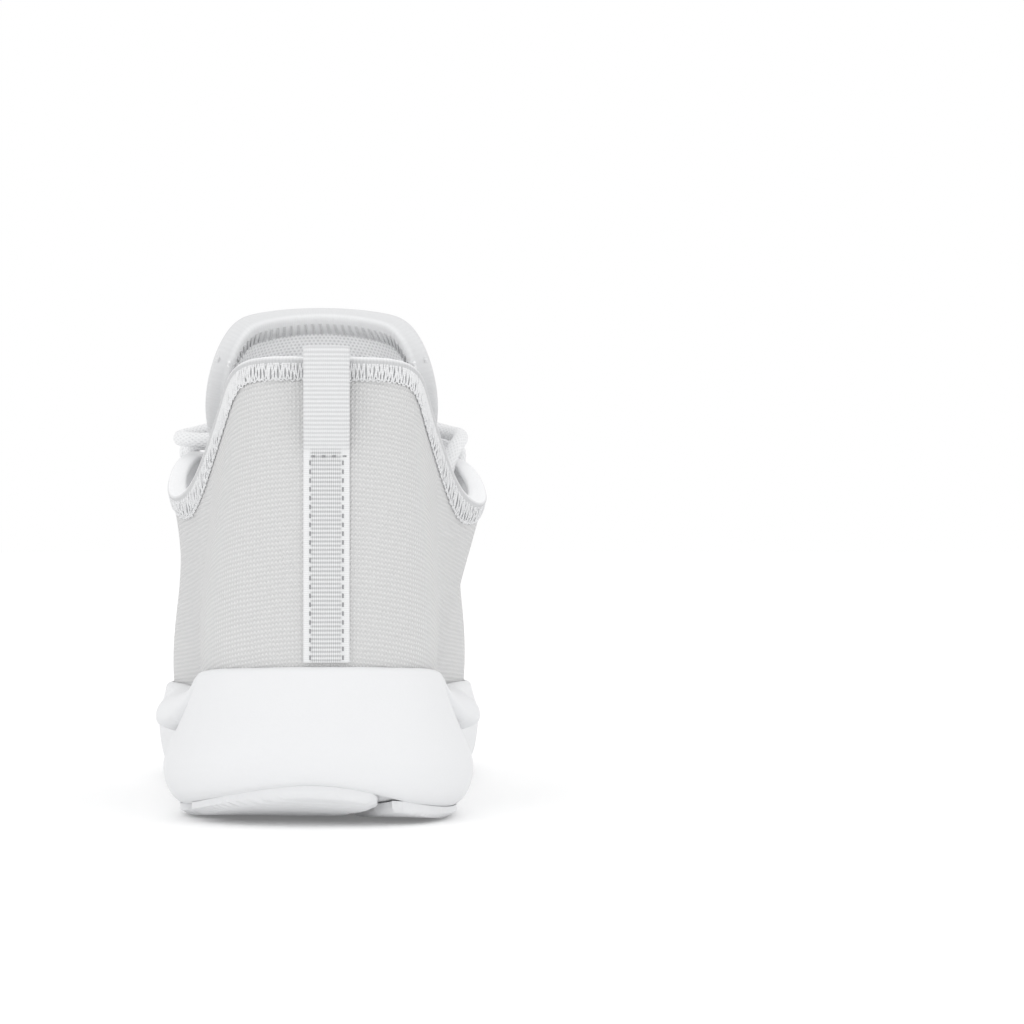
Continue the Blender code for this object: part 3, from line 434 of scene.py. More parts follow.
def tidy_mesh(mesh, outwards=False):
    """Merges points that coincide, and turns a closed mesh's faces outwards if asked."""
    bm = opened(mesh)
    bmesh.ops.remove_doubles(bm, verts=bm.verts[:], dist=2e-6)
    bmesh.ops.dissolve_degenerate(bm, edges=bm.edges[:], dist=1e-7)
    return write_back(bm, mesh, outwards)


def thicken(obj, thickness):
    """Gives a sheet its thickness, inwards from its outer face, and applies it."""
    shell = obj.modifiers.new("thickness", "SOLIDIFY")
    shell.thickness = thickness * MM
    shell.offset = -1
    bpy.context.view_layer.update()
    depsgraph = bpy.context.evaluated_depsgraph_get()
    mesh = bpy.data.meshes.new_from_object(obj.evaluated_get(depsgraph))
    obj.modifiers.clear()
    obj.data = mesh


def sweep_mesh(name, sections, closed=False, along_mm=None, outlines=None):
    """A body through closed sections[i][k], laddered over its ends unless it is closed.

    Distances round it are measured on the sections, or on flat outlines where given.
    """
    sections = np.asarray(sections, float)
    count, corners = sections.shape[:2]
    measured = sections if outlines is None else outlines
    around_mm = distances(np.concatenate([measured, measured[:, :1]], 1), 1)
    if along_mm is None:
        gone = distances(sections[:, 0])
        along_mm = np.append(gone, gone[-1] * count / (count - 1))
    quads = grid_quads(count, corners + 1, closed)
    faces = (quads[..., 0] % count) * corners + quads[..., 1] % corners
    uv = np.stack([along_mm[quads[..., 0]], around_mm[quads[..., 0] % count, quads[..., 1]]], -1)
    faces, uv = faces.tolist(), uv.reshape(-1, 2)
    if not closed:
        half = corners // 2
        for base in (0, (count - 1) * corners):
            ladder = [[base + i, base + i + 1, base + corners - i - 2, base + corners - i - 1]
                      for i in range(half - 1)]
            faces += ladder
            uv = np.concatenate([uv, np.zeros((4 * len(ladder), 2))])
    mesh = mesh_of(name, sections.reshape(-1, 3), faces, uv)
    return tidy_mesh(mesh, outwards=True)


def strands_mesh(name, paths, ups, radius, sides):
    """Round strands, one for each of paths[m][n]; radius may vary over (m, n, sides)."""
    paths, ups = np.asarray(paths, float), np.asarray(ups, float)
    count, length = paths.shape[:2]
    ahead = unit(np.gradient(paths, axis=1))
    side = unit(np.cross(ahead, ups))
    up = np.cross(side, ahead)
    angle = np.linspace(0, 2 * math.pi, sides, endpoint=False)
    arms = (np.cos(angle)[:, None] * side[:, :, None] + np.sin(angle)[:, None] * up[:, :, None])
    radius = np.broadcast_to(radius, (count, length, sides))
    points = paths[:, :, None] + arms * radius[..., None]
    quads = grid_quads(length, sides + 1, False)
    local = quads[..., 0] * sides + quads[..., 1] % sides
    faces = (local[None] + (np.arange(count) * length * sides)[:, None, None]).reshape(-1, 4)
    along = distances(paths, 1)
    turn = quads[..., 1] / sides
    uv = np.stack([along[:, quads[..., 0]], np.broadcast_to(turn, (count, *turn.shape))], -1)
    caps = []
    for base in np.arange(count) * length * sides:
        caps.append(list(range(base, base + sides)))
        caps.append(list(range(base + (length - 1) * sides, base + length * sides))[::-1])
    uv = np.concatenate([uv.reshape(-1, 2), np.zeros((2 * count * sides, 2))])
    return mesh_of(name, points.reshape(-1, 3), faces.tolist() + caps, uv)


def carried_ups(path):
    """Directions across a path that don't twist as they are carried along it."""
    ahead = unit(np.gradient(path, axis=0))
    up = np.cross(ahead[0], (0.3, 0.2, 0.9))
    ups = []
    for direction in ahead:
        up = unit(up - direction * (up @ direction))
        ups.append(up)
    return np.array(ups)


def resampled(points, spacing):
    """Evenly spaced points along a polyline."""
    along = distances(points)
    marks = np.linspace(0, along[-1], max(2, round(along[-1] / spacing)) + 1)
    return read_along(marks, along, points)


def smooth_path(points, spacing):
    """Evenly spaced points along a smooth curve through the given ones."""
    curve = spline(points)
    return resampled(curve(np.linspace(0, len(points) - 1, 40 * len(points))), spacing)


# ---------------------------------------------------------------- materials


class Look:
    """A Principled material whose nodes are put together by calls."""

    def __init__(self, name, roughness=0.85, sheen=0.0, specular=0.3):
        self.material = bpy.data.materials.new(name)
        self.material.use_nodes = True
        self.tree = self.material.node_tree
        self.shader = self.tree.nodes["Principled BSDF"]
        self.shader.inputs["Roughness"].default_value = roughness
        self.shader.inputs["Sheen Weight"].default_value = sheen
        self.shader.inputs["Specular IOR Level"].default_value = specular

    def node(self, kind, *inputs, **settings):
        made = self.tree.nodes.new(kind)
        for key, value in settings.items():
            setattr(made, key, value)
        for socket, value in zip(made.inputs, inputs):
            if isinstance(value, bpy.types.NodeSocket):
                self.tree.links.new(value, socket)
            elif value is not None:
                socket.default_value = value
        return made

    def math(self, operation, *values):
        return self.node("ShaderNodeMath", *values, operation=operation).outputs[0]

    def cloth(self):
        """The two coordinates over the cloth, in mm."""
        uv = self.node("ShaderNodeUVMap", uv_map=CLOTH_UV).outputs[0]
        split = self.node("ShaderNodeSeparateXYZ", uv)
        return split.outputs[0], split.outputs[1]

    def place(self, scale):
        """Object coordinates times a scale."""
        where = self.node("ShaderNodeTexCoord").outputs["Object"]
        made = self.node("ShaderNodeVectorMath", where, operation="SCALE")
        made.inputs["Scale"].default_value = scale
        return made.outputs[0]

    def noise(self, scale, detail=2.0):
        made = self.node("ShaderNodeTexNoise", self.place(scale))
        made.inputs["Scale"].default_value = 1.0
        made.inputs["Detail"].default_value = detail
        return made.outputs[0]

    def wave(self, x, pitch, shift=0.0):
        """0 to 1 and back over each pitch of x."""
        angle = self.math("MULTIPLY_ADD", x, 2 * math.pi / pitch, shift)
        return self.math("MULTIPLY_ADD", self.math("COSINE", angle), 0.5, 0.5)

    def between(self, factor, low, high):
        """low + (high - low) * factor, for numbers or sockets."""
        return self.math("MULTIPLY_ADD", factor, self.math("SUBTRACT", high, low), low)

    def mixed(self, one, share, other, other_share):
        """one * share + other * other_share."""
        return self.math("MULTIPLY_ADD", one, share, self.math("MULTIPLY", other, other_share))

    def ramp(self, x, low, high, start=0.0, end=1.0, **settings):
        """start to end, as x goes from low to high."""
        return self.node("ShaderNodeMapRange", x, low, high, start, end, **settings).outputs[0]

    def relief_shade_and_fibres(self, height, share, scale, fuzz, dark, light):
        """Colour by a relief's height, as painted shade in its hollows and painted highlight on its
        crowns, and by fine fibres over it; returns the fibres.
        """
        fibres = self.noise(scale, 2)
        self.colour(self.mixed(fibres, fuzz, height, share), dark, light)
        return fibres

    def colour(self, factor, dark, light):
        mix = self.node("ShaderNodeMix", factor, data_type="RGBA")
        for socket, value in ((mix.inputs[6], dark), (mix.inputs[7], light)):
            socket.default_value = (*value, 1)
        self.tree.links.new(mix.outputs[2], self.shader.inputs["Base Color"])

    def roughness(self, factor, low, high):
        self.tree.links.new(self.between(factor, low, high), self.shader.inputs["Roughness"])

    def bump(self, height, depth_mm, strength=1.0):
        bump = self.node("ShaderNodeBump")
        bump.inputs["Strength"].default_value = strength
        bump.inputs["Distance"].default_value = depth_mm * MM
        self.tree.links.new(height, bump.inputs["Height"])
        self.tree.links.new(bump.outputs[0], self.shader.inputs["Normal"])


def grey(value, cool=0.006):
    return (value - cool, value - cool / 3, value + cool)


def knit_look(name, dark, light, wale, course, depth):
    """Jersey knit: courses of V-shaped stitches, with a little unevenness."""
    look = Look(name, roughness=0.92, sheen=0.15)
    u, v = look.cloth()
    uneven = look.noise(260, 3)
    v = look.math("MULTIPLY_ADD", uneven, 0.6, v)
    u = look.math("MULTIPLY_ADD", uneven, 0.5, u)
    point = look.math("PINGPONG", u, wale / 2)
    rows = look.wave(look.math("MULTIPLY_ADD", point, 0.8, v), course)
    height = look.math("MULTIPLY", rows, look.between(look.wave(u, wale), 0.25, 1.0))
    fibres = look.relief_shade_and_fibres(height, 0.62, 3200, 0.5, dark, light)
    look.bump(look.math("MULTIPLY_ADD", fibres, 0.25, height), depth)
    return look


def honeycomb_look(name, dark, light, cell, depth):
    """Open mesh with hexagonal cells: three waves at 120 degrees add up to the holes."""
    look = Look(name, roughness=0.9, sheen=0.2)
    u, v = look.cloth()
    waves = []
    for k in range(3):
        angle = math.radians(30 + 120 * k)
        waves.append(look.wave(look.mixed(u, math.cos(angle), v, math.sin(angle)), cell))
    total = look.math("ADD", look.math("ADD", waves[0], waves[1]), waves[2])
    hole = look.ramp(total, 1.35, 2.1, interpolation_type="SMOOTHSTEP")
    cloth = look.math("SUBTRACT", 1.0, hole)
    fibres = look.relief_shade_and_fibres(cloth, 0.8, 2600, 0.35, dark, light)
    look.bump(look.math("MULTIPLY_ADD", fibres, 0.2, cloth), depth)
    return look


def ribbed_look(name, dark, light, pitch, depth, cross):
    """Ribs along the cloth with finer yarns across them."""
    look = Look(name, roughness=0.85, sheen=0.2)
    u, v = look.cloth()
    height = look.mixed(look.wave(u, cross), 0.3, look.wave(v, pitch), 0.7)
    look.relief_shade_and_fibres(height, 0.6, 3000, 0.4, dark, light)
    look.bump(height, depth)
    return look


def tape_look(name, outer, inner, change_at):
    """Folded tape, darker under its threads and paler where it turns inside."""
    look = Look(name, roughness=0.85, sheen=0.2)
    u, v = look.cloth()
    inside = look.ramp(v, change_at - 0.5, change_at + 0.5)
    yarns = look.wave(u, 0.9)
    fibres = look.mixed(look.noise(2600, 2), 0.3, yarns, 0.1)
    look.colour(look.math("MULTIPLY_ADD", inside, 0.7, fibres), outer, inner)
    look.bump(yarns, 0.04)
    return look


def webbing_look(name, dark, light):
    """Tape with open ribs between its stitch lines and faint, closed ribs up the loop."""
    look = Look(name, roughness=0.85, sheen=0.2)
    u, v = look.cloth()
    on_loop = look.ramp(u, LOOP_FROM - LOOP_FADE, LOOP_FROM + LOOP_FADE)
    from_middle = look.math("ABSOLUTE", look.math("SUBTRACT", v, WEBBING_WIDTH / 2))
    inside = look.ramp(from_middle, STITCH_LINE - 0.5, STITCH_LINE, 1.0, 0.0)
    yarns, ribs = look.wave(v, 0.55), look.wave(u, RIB)
    open_ribs = look.mixed(yarns, 0.45, ribs, 0.55)
    closed = look.math("MULTIPLY", ribs, look.between(yarns, 0.7, 1.0))
    closed = look.between(closed, 0.42, 0.82)
    border = look.between(look.wave(u, RIB / 2), 0.7, 0.9)
    height = look.between(on_loop, look.between(inside, border, open_ribs), closed)
    look.relief_shade_and_fibres(height, 0.88, 3000, 0.2, dark, light)
    look.bump(look.math("MULTIPLY_ADD", yarns, 0.5, height), 0.08)
    return look


def yarn_look(name, dark, light):
    """Twisted thread: fine slanting plies along each strand."""
    look = Look(name, roughness=0.8, sheen=0.25)
    u, v = look.cloth()
    ply = look.wave(look.mixed(v, 2.0, u, 1.6), 1.0)
    look.relief_shade_and_fibres(ply, 0.5, 3600, 0.5, dark, light)
    look.bump(ply, 0.05)
    return look


def braid_look(name, dark, light):
    """Round braid: yarns winding both ways over and under each other."""
    look = Look(name, roughness=0.85, sheen=0.2)
    u, v = look.cloth()
    one, two = (look.wave(look.mixed(v, yarns, u, 0.62), 1.0) for yarns in (12.0, -12.0))
    height = look.math("MAXIMUM", one, two)
    look.relief_shade_and_fibres(height, 0.6, 3200, 0.4, dark, light)
    look.bump(height, 0.12)
    return look


def foam_look(name, dark, light, roughness=0.5):
    """Moulded foam: a satin skin with a faint grain and broad, slight unevenness."""
    look = Look(name, roughness=roughness, specular=0.25)
    broad, grain = look.noise(28, 3), look.noise(1500, 3)
    look.colour(look.mixed(grain, 0.3, broad, 0.7), dark, light)
    look.roughness(grain, roughness - 0.05, roughness + 0.12)
    look.bump(look.math("MULTIPLY_ADD", broad, 0.5, grain), 0.05, 0.5)
    return look


def smooth_look(name, dark, light, roughness):
    """Coated film or board: nearly smooth, with a pinhead grain."""
    look = Look(name, roughness=roughness, specular=0.35)
    grain = look.noise(1900, 2)
    look.colour(grain, dark, light)
    look.roughness(grain, roughness - 0.06, roughness + 0.08)
    look.bump(grain, 0.04, 0.6)
    return look


KNIT_LOOK = knit_look("knit_grey", grey(0.52, 0.0), grey(0.80, 0.0), 1.05, 1.25, 0.24)
LINING_LOOK = knit_look("lining_jersey", grey(0.86), grey(0.96), 0.7, 0.8, 0.04)
MESH_LOOK = honeycomb_look("honeycomb_mesh", grey(0.74), grey(0.97), 0.95, 0.1)
RIM_LOOK = ribbed_look("rib_knit", grey(0.67), grey(0.83), 0.62, 0.07, 0.5)
TRIM_LOOK = tape_look("edge_tape", grey(0.46), grey(0.92), 4.9)
ROLL_LOOK = tape_look("rolled_tape", grey(0.68), grey(0.82), 10.0)
THREAD_LOOK = yarn_look("overlock_thread", grey(0.70), grey(0.88))
# Real stitches, coloured dark grey as painted shade of their needle holes.
SHADED_STITCH_LOOK = yarn_look("stitch_painted_shade", grey(0.20), grey(0.42))
WEBBING_LOOK = webbing_look("webbing", grey(0.38), grey(0.86))
SEAM_LOOK = yarn_look("seam_stitches", grey(0.62), grey(0.76))
LACE_LOOK = braid_look("braided_lace", grey(0.72), grey(0.88))
FOAM_LOOK = foam_look("moulded_foam", grey(0.745, 0.008), grey(0.80, 0.008))
RUBBER_LOOK = foam_look("outsole_rubber", grey(0.72, 0.008), grey(0.79, 0.008), 0.45)
FILM_LOOK = smooth_look("eyestay_film", grey(0.76), grey(0.84), 0.45)
BOARD_LOOK = smooth_look("stiffener_board", (0.62, 0.60, 0.54), (0.72, 0.70, 0.64), 0.8)
AGLET_LOOK = smooth_look("aglet_plastic", grey(0.80), grey(0.86), 0.18)
INSOLE_LOOK = knit_look("insole_cloth", grey(0.84), grey(0.95), 0.8, 0.9, 0.06)
FOAM_CORE_LOOK = foam_look("padding_foam", grey(0.72), grey(0.80), 0.8)


# ---------------------------------------------------------------- foam and tread


def region_mix(t, values):
    """A value that changes from region to region of the foam's side."""
    u = station(t)
    mixed = values[0]
    for value, (first, last) in zip(values[1:], REGION_CHANGES):
        mixed = mixed + (value - mixed) * smooth_step(u, first, last)
    return mixed


def side_points(t):
    """The foam's side at t: (outward, height) for each of its rings below the rim."""
    points = []
    for regions in zip(SIDE_BACK, SIDE_HEEL, SIDE_WAIST, SIDE_FORE, SIDE_TOE):
        outs, heights = zip(*regions)
        points.append((region_mix(t, outs), region_mix(t, heights)))
    return points


def foam_points(t, out, height):
    """Points out from the feather line and at a height; t, out and height share a shape."""
    flat = feather(t) + outward(t)[..., :2] * out[..., None]
    return np.concatenate([flat, np.broadcast_to(height, t.shape)[..., None]], -1)


def rim_height(t):
    """The rim stands a lip above the design's, and dips just ahead of the rear block."""
    u = station(t)
    return rim(t) + RIM_LIP - BLOCK_DROP * smooth_step(u, 2.1, 2.4) * (1 - smooth_step(u, 2.5, 3.3))


crease_line = np.array([CREASE_STATION, CREASE_HEIGHT])


def moulded_out(t, out, height):
    """The side's smooth profile with its crease cut in and the lobe above it raised."""
    u = station(t)
    crease = np.interp(u, *crease_line)
    present = smooth_step(u, 2.0, 2.2) * (1 - smooth_step(u, 5.2, 7.2))
    above = np.clip((height - crease) / np.maximum(rim_height(t) - crease, 1.0), 0, 1)
    swell = np.clip(4 * above * (1 - above), 0, 1) ** 0.42
    lobe = LOBE_OUT * swell * smooth_step(u, 2.1, 2.9) * (1 - smooth_step(u, 4.4, 6.8))
    cut = CREASE_DEPTH * np.exp(-(((height - crease) / CREASE_WIDTH) ** 2)) * present
    return out + lobe - cut


def wall_out_at(t, height):
    """How far the upper's outer face stands out of the feather line at a height."""
    line = wall(t[:, None], np.linspace(0, 0.5, 40)[None, :])
    out = np.einsum("ijk,ik->ij", line[..., :2] - feather(t)[:, None], outward(t)[:, :2])
    return np.array([np.interp(z, row[:, 2], o) for z, row, o in zip(height, line, out)])


def add_foam():
    """The sole's foam: lobed sides, a cupped rim and an underside with flex grooves."""
    t = np.linspace(0, STATIONS, FOAM_COLUMNS, endpoint=False)
    rises = tread_bottom(t)
    profile = [(o, z + rises * np.clip(1 - (z - 3) / RISE_FADE, 0, 1)) for o, z in side_points(t)]
    profile.append((RIM_OUT + 0 * t, rim_height(t) - RIM_ROUND))
    through = spline(np.array(profile).transpose(0, 2, 1).reshape(len(profile), -1))
    steps = np.linspace(0, len(profile) - 1, FOAM_RINGS)
    side = through(steps).reshape(FOAM_RINGS, len(t), 2)
    rings_t = np.broadcast_to(t, side.shape[:2])
    out = moulded_out(rings_t, side[..., 0], side[..., 1])
    rings = list(foam_points(rings_t, out, side[..., 1]))
    at_rim = wall_out_at(t, rim_height(t)) + 0.25
    top = rim_height(t)
    for share, drop in ((0.25, 0.45), (0.6, 0.1), (0.85, 0.0), (0.97, 0.25), (1.0, 1.0)):
        rings.append(foam_points(t, out[-1] + (at_rim - out[-1]) * share, top - drop))
    rings.append(foam_points(t, 0.5 + 0 * t, footbed(t)))
    rings = [underside_ring(rings[0], inset) for inset in (2.2, 1.1, 0.35)] + rings
    add_foam_body(rings)


def underside_ring(ring, inset):
    """The tread's edge, rolled under by an inset."""
    centre = ring[:, :2].mean(0)
    towards = unit(centre - ring[:, :2]) * inset
    return np.concatenate([ring[:, :2] + towards, ring[:, 2:]], 1)


def add_foam_body(rings):
    """The foam as one closed body: its rings, then strips across its two ends."""
    points = np.array(rings).transpose(1, 0, 2)
    columns, rows = points.shape[:2]
    mesh = grid_mesh("foam_sole", points, uv_of_grid(points), wrap=True)
    bm = opened(mesh)
    verts = list(bm.verts)
    half = columns // 2
    for row, flip in ((0, False), (rows - 1, True)):
        ends = [verts[c * rows + row] for c in range(columns)]
        lines = [[ends[0]]]
        for c in range(1, half):
            lines.append(strip_across(bm, ends[c], ends[columns - c], row == 0))
        lines.append([ends[half]])
        for near, far in zip(lines, lines[1:]):
            bridge_lines(bm, near, far, flip)
    obj = add_piece("foam_sole", write_back(bm, mesh), FOAM_LOOK)
    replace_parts(obj, "midsole")


ACROSS = 14
FLEX_GROOVES = (8.42, 7.35)
GROOVE_DEPTH, GROOVE_WIDTH = 1.6, 1.6
CHANNEL_DEPTH, CHANNEL_WIDTH = 0.9, 0.05


def strip_across(bm, left, right, underneath):
    """Points across the shoe from one vertex to the other.

    Underneath they are grooved where the sole flexes, with a channel down the middle.
    """
    line = [left]
    for k in range(1, ACROSS):
        at = left.co.lerp(right.co, k / ACROSS)
        if underneath:
            away = min(abs(at.y / MM - groove_y(u)) for u in FLEX_GROOVES)
            present = min(1, min(k, ACROSS - k) / ACROSS * 5)
            from_middle = (k / ACROSS - 0.5) / CHANNEL_WIDTH
            at.z += GROOVE_DEPTH * MM * math.exp(-((away / GROOVE_WIDTH) ** 2)) * present
            at.z += CHANNEL_DEPTH * MM * math.exp(-(from_middle**2))
        line.append(bm.verts.new(at))
    return line + [right]


def groove_y(u):
    return float(feather(u)[1]) + HEEL_LINE[1]


def add_face(bm, corners):
    """A face through these vertices, each taken once."""
    return bm.faces.new(list(dict.fromkeys(corners)))


def bridge_lines(bm, near, far, flip):
    """Faces between two lines of vertices; a line of one vertex makes a fan."""
    near = near * len(far) if len(near) == 1 else near
    far = far * len(near) if len(far) == 1 else far
    for i in range(len(near) - 1):
        corners = [near[i], near[i + 1], far[i + 1], far[i]]
        add_face(bm, corners[::-1] if flip else corners)


def uv_of_grid(points):
    """Distances round a closed grid's middle row and along each of its columns, in mm."""
    ring = np.concatenate([points, points[:1]])
    along, up = distances(ring[:, ring.shape[1] // 2]), distances(ring, 1)
    return np.stack([np.broadcast_to(along[:, None], up.shape), up], -1)


# Each pad's spans: a station, and shares of the way from the tread's outer to its inner end.
PADS = {
    "outsole_heel_crash_pad": [
        (0.12, 0.03, 0.97), (0.5, 0.03, 0.92), (0.85, 0.03, 0.86), (1.3, 0.03, 0.68),
        (2.1, 0.03, 0.54),
    ],
    "outsole_heel_outer_pad": [(2.15, 0.03, 0.46), (3.2, 0.03, 0.44), (4.3, 0.05, 0.36)],
    "outsole_heel_inner_pad": [
        (0.95, 0.90, 0.97), (1.35, 0.74, 0.98), (2.0, 0.62, 0.98), (3.1, 0.58, 0.98),
        (4.3, 0.68, 0.96),
    ],
    "outsole_forefoot_outer_pad": [(6.0, 0.04, 0.36), (7.0, 0.03, 0.45), (8.3, 0.03, 0.47)],
    "outsole_forefoot_inner_pad": [(6.2, 0.64, 0.97), (7.0, 0.55, 0.98), (8.3, 0.53, 0.98)],
    "outsole_toe_outer_pad": [(8.55, 0.03, 0.47), (9.6, 0.04, 0.47), (10.7, 0.10, 0.46)],
    "outsole_toe_inner_pad": [(8.55, 0.53, 0.97), (9.6, 0.53, 0.96), (10.7, 0.54, 0.90)],
}
TREAD_RIB, TREAD_RIB_DEPTH = 1.6, 0.45
PAD_SECTIONS, PAD_ACROSS = 180, 14
PAD_EDGE, PAD_FLAT = 1.3, (0.8, 2.0)
PAD_TOP = RUBBER + 0.35
FLUSH = -0.012


def tread_line(u):
    """The outer and inner end of the tread at each station, on the tread's bottom."""
    return [foam_points(t, side_points(t)[0][0], tread_bottom(t)) for t in (u, STATIONS - u)]


def add_pads():
    """The rubber pads, ribbed across underneath, with rounded edges."""
    for name, spans in PADS.items():
        places = [span[0] for span in spans]
        length = places[-1] - places[0]
        u = places[0] + length * (1 - np.cos(np.linspace(0, math.pi, PAD_SECTIONS))) / 2
        low = np.interp(u, places, [span[1] if span[1] > 0.1 else FLUSH for span in spans])
        high = np.interp(u, places, [span[2] if span[2] < 0.88 else 1 - FLUSH for span in spans])
        from_end = np.minimum(u - places[0], places[-1] - u)
        half = (high - low) / 2 * (1 - 0.4 * (1 - np.minimum(from_end / 0.3, 1)) ** 2)
        middle = (low + high) / 2
        outer, inner = tread_line(u)
        width = np.linalg.norm(inner - outer, axis=-1)
        across = np.linspace(-1, 1, PAD_ACROSS)
        share = middle[:, None] + half[:, None] * across
        under = outer[:, None] + (inner - outer)[:, None] * share[..., None]
        to_side = (1 - np.abs(across))[None, :] * (half * width)[:, None]
        to_end = np.linalg.norm(under - under[:1], axis=-1).min(1)
        to_end = np.minimum(to_end, np.linalg.norm(under - under[-1:], axis=-1).min(1))
        ribs = 0.5 - 0.5 * np.cos(2 * np.pi * under[..., 1] / TREAD_RIB)
        inside = smooth_step(to_side, *PAD_FLAT) * smooth_step(to_end, *PAD_FLAT)[:, None]
        under[..., 2] += TREAD_RIB_DEPTH * ribs * inside
        edge = np.clip(1 - np.minimum(to_side, to_end[:, None]) / PAD_EDGE, 0, 1)
        under[..., 2] += PAD_EDGE * edge**2
        over = under[:, ::-1].copy()
        over[..., 2] = outer[:, None, 2] + (inner - outer)[:, None, 2] * share[:, ::-1] + PAD_TOP
        mesh = sweep_mesh(name, np.concatenate([under, over], 1))
        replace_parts(add_piece(f"tread_{name[8:]}", mesh, RUBBER_LOOK), name)


def add_insole():
    """The padded insole, crowned a little at its edge."""
    t = np.linspace(0, STATIONS, 264, endpoint=False)
    profile = [(5.0, 2.0), (5.0, 5.4), (5.3, 6.1), (6.1, 6.5), (8.0, 6.6), (12.0, 6.5)]
    points = [foam_points(t, -inset + 0 * t, footbed(t) + rise) for inset, rise in profile]
    rings = np.array(points).transpose(1, 0, 2)
    from_above = np.concatenate([rings, rings[:1]])[..., :2]
    mesh = grid_mesh("insole_cushion", rings, from_above, wrap=True)
    bm = opened(mesh)
    verts = list(bm.verts)
    layer = bm.loops.layers.uv[CLOTH_UV]
    rows, half = len(profile), len(t) // 2
    made = []
    for row in (0, rows - 1):
        ends = [verts[c * rows + row] for c in range(len(t))]
        for c in range(half):
            made.append(add_face(bm, [ends[c], ends[c + 1], ends[-c - 1], ends[-c]]))
    for face in made:
        for loop in face.loops:
            loop[layer].uv = (loop.vert.co.x / MM, loop.vert.co.y / MM)
    insole = add_piece("insole_cushion", write_back(bm, mesh), INSOLE_LOOK)
    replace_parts(insole, "insole")


# ---------------------------------------------------------------- upper


def wall_columns(per_station):
    """Places of even columns all round the shoe, starting from the toe."""
    return TOE + np.linspace(0, STATIONS, STATIONS * per_station, endpoint=False)


ROW_FALL, FALL_REACH = 0.0035, 60


def knit_uv(t, points):
    """Courses follow the ground, falling a little towards the sides of the heel."""
    girth = wall(t, 0.45)
    along = distances(np.concatenate([girth, girth[:1]]))
    along = along - along[-1] / 2
    climb = distances(np.concatenate([points, points[:1]]), 1)
    climb = climb + ROW_FALL * np.clip(along, -FALL_REACH, FALL_REACH)[:, None] ** 2
    return np.stack([np.broadcast_to(along[:, None], climb.shape), climb], -1)


def smooth_ridge(points, t, s, rounds):
    """Relaxes the vamp's ridge, so that its two sides meet in a round crown."""
    weight = smooth_step(station(t), 8.95, 9.4)[:, None] * smooth_step(s, 0.3, 0.65)
    mirror = (-np.arange(len(t))) % len(t)
    for _ in range(rounds):
        near = (np.roll(points, 1, 0) + np.roll(points, -1, 0)) / 2
        below = np.concatenate([points[:, :1], points[:, :-1]], 1)
        above = np.concatenate([points[:, 1:], points[mirror, -2:-1]], 1)
        above[0, -1] = (near[0, -1] + below[0, -1]) / 2
        moved = points * 0.4 + near * 0.2 + (below + above) * 0.2
        points = points + (moved - points) * weight[..., None]
        ridge = (points[:, -1] + points[mirror, -1]) / 2
        on_ridge = (station(t) > THROAT_END - HAIR)[:, None]
        points[:, -1] = np.where(on_ridge, ridge, points[:, -1])
    return points


def wall_sheet(name, coarseness, depth, rounds, thickness, look):
    """A sheet all round the upper, depth(t, s) below its outer face."""
    t = wall_columns(COLUMNS_A_STATION // coarseness)
    s = np.linspace(0, 1, WALL_ROWS // coarseness)[None, :] + 0 * t[:, None]
    face = under_wall(t[:, None], s, depth(t[:, None], s))
    face = smooth_ridge(face, t, s, rounds)
    mesh = tidy_mesh(grid_mesh(name, face, knit_uv(t, face), wrap=True))
    obj = add_piece(name, mesh, look)
    thicken(obj, thickness)
    return obj


def add_upper():
    """The knit, its lining, and the padding between them round the collar."""
    skin = wall_sheet(
        "upper_skin", 1, lambda t, s: 0.0, RIDGE_ROUNDS, KNIT, KNIT_LOOK
    )
    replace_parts(skin, "upper_knit")
    lining = wall_sheet(
        "inner_lining", 2, lining_depth, LINING_ROUNDS, LINING, LINING_LOOK
    )
    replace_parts(lining, "upper_lining")

    t = np.linspace(-5, 5, 160)
    s = np.linspace(0.5, 0.985, 26)[None, :] + 0 * t[:, None]
    outer = under_wall(t[:, None], s, KNIT + CLEAR_OF_PADDING)
    inner = under_wall(t[:, None], s, lining_depth(t[:, None], s) - CLEAR_OF_PADDING)
    body = sweep_mesh("collar_padding", np.concatenate([outer, inner[:, ::-1]], 1))
    padding = add_piece("collar_padding", body, FOAM_CORE_LOOK)
    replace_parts(padding, "collar_foam")


class Edge:
    """The strip along an edge of the upper or tongue, as a map from (along, a, b), in mm.

    along is the distance along the edge, a the distance in from it, negative past it, and
    b the depth below the outer face, negative outside it.
    """

    def __init__(self, top, low, reach, top_normal, low_normal, inner_depth):
        self.top, self.inwards = top, (low - top) / reach
        self.top_normal, self.low_normal, self.reach = top_normal, low_normal, reach
        self.inner_depth = inner_depth
        self.along = distances(top)
        self.length = self.along[-1]

    def at(self, along, a, b):
        """Points at these distances along the edge, in from it, and below the face."""
        along, a, b = np.broadcast_arrays(*(np.asarray(x, float) for x in (along, a, b)))
        top, inwards, top_normal, low_normal = (
            read_along(along, self.along, values)
            for values in (self.top, self.inwards, self.top_normal, self.low_normal)
        )
        share = np.clip(a / self.reach, 0, 1)[..., None]
        normal = unit(top_normal * (1 - share) + low_normal * share)
        return top + inwards * a[..., None] - normal * b[..., None]

    def depth_inside(self, along):
        return np.interp(along, self.along, self.inner_depth)

    def outwards(self, along):
        return unit(read_along(along, self.along, self.top_normal))


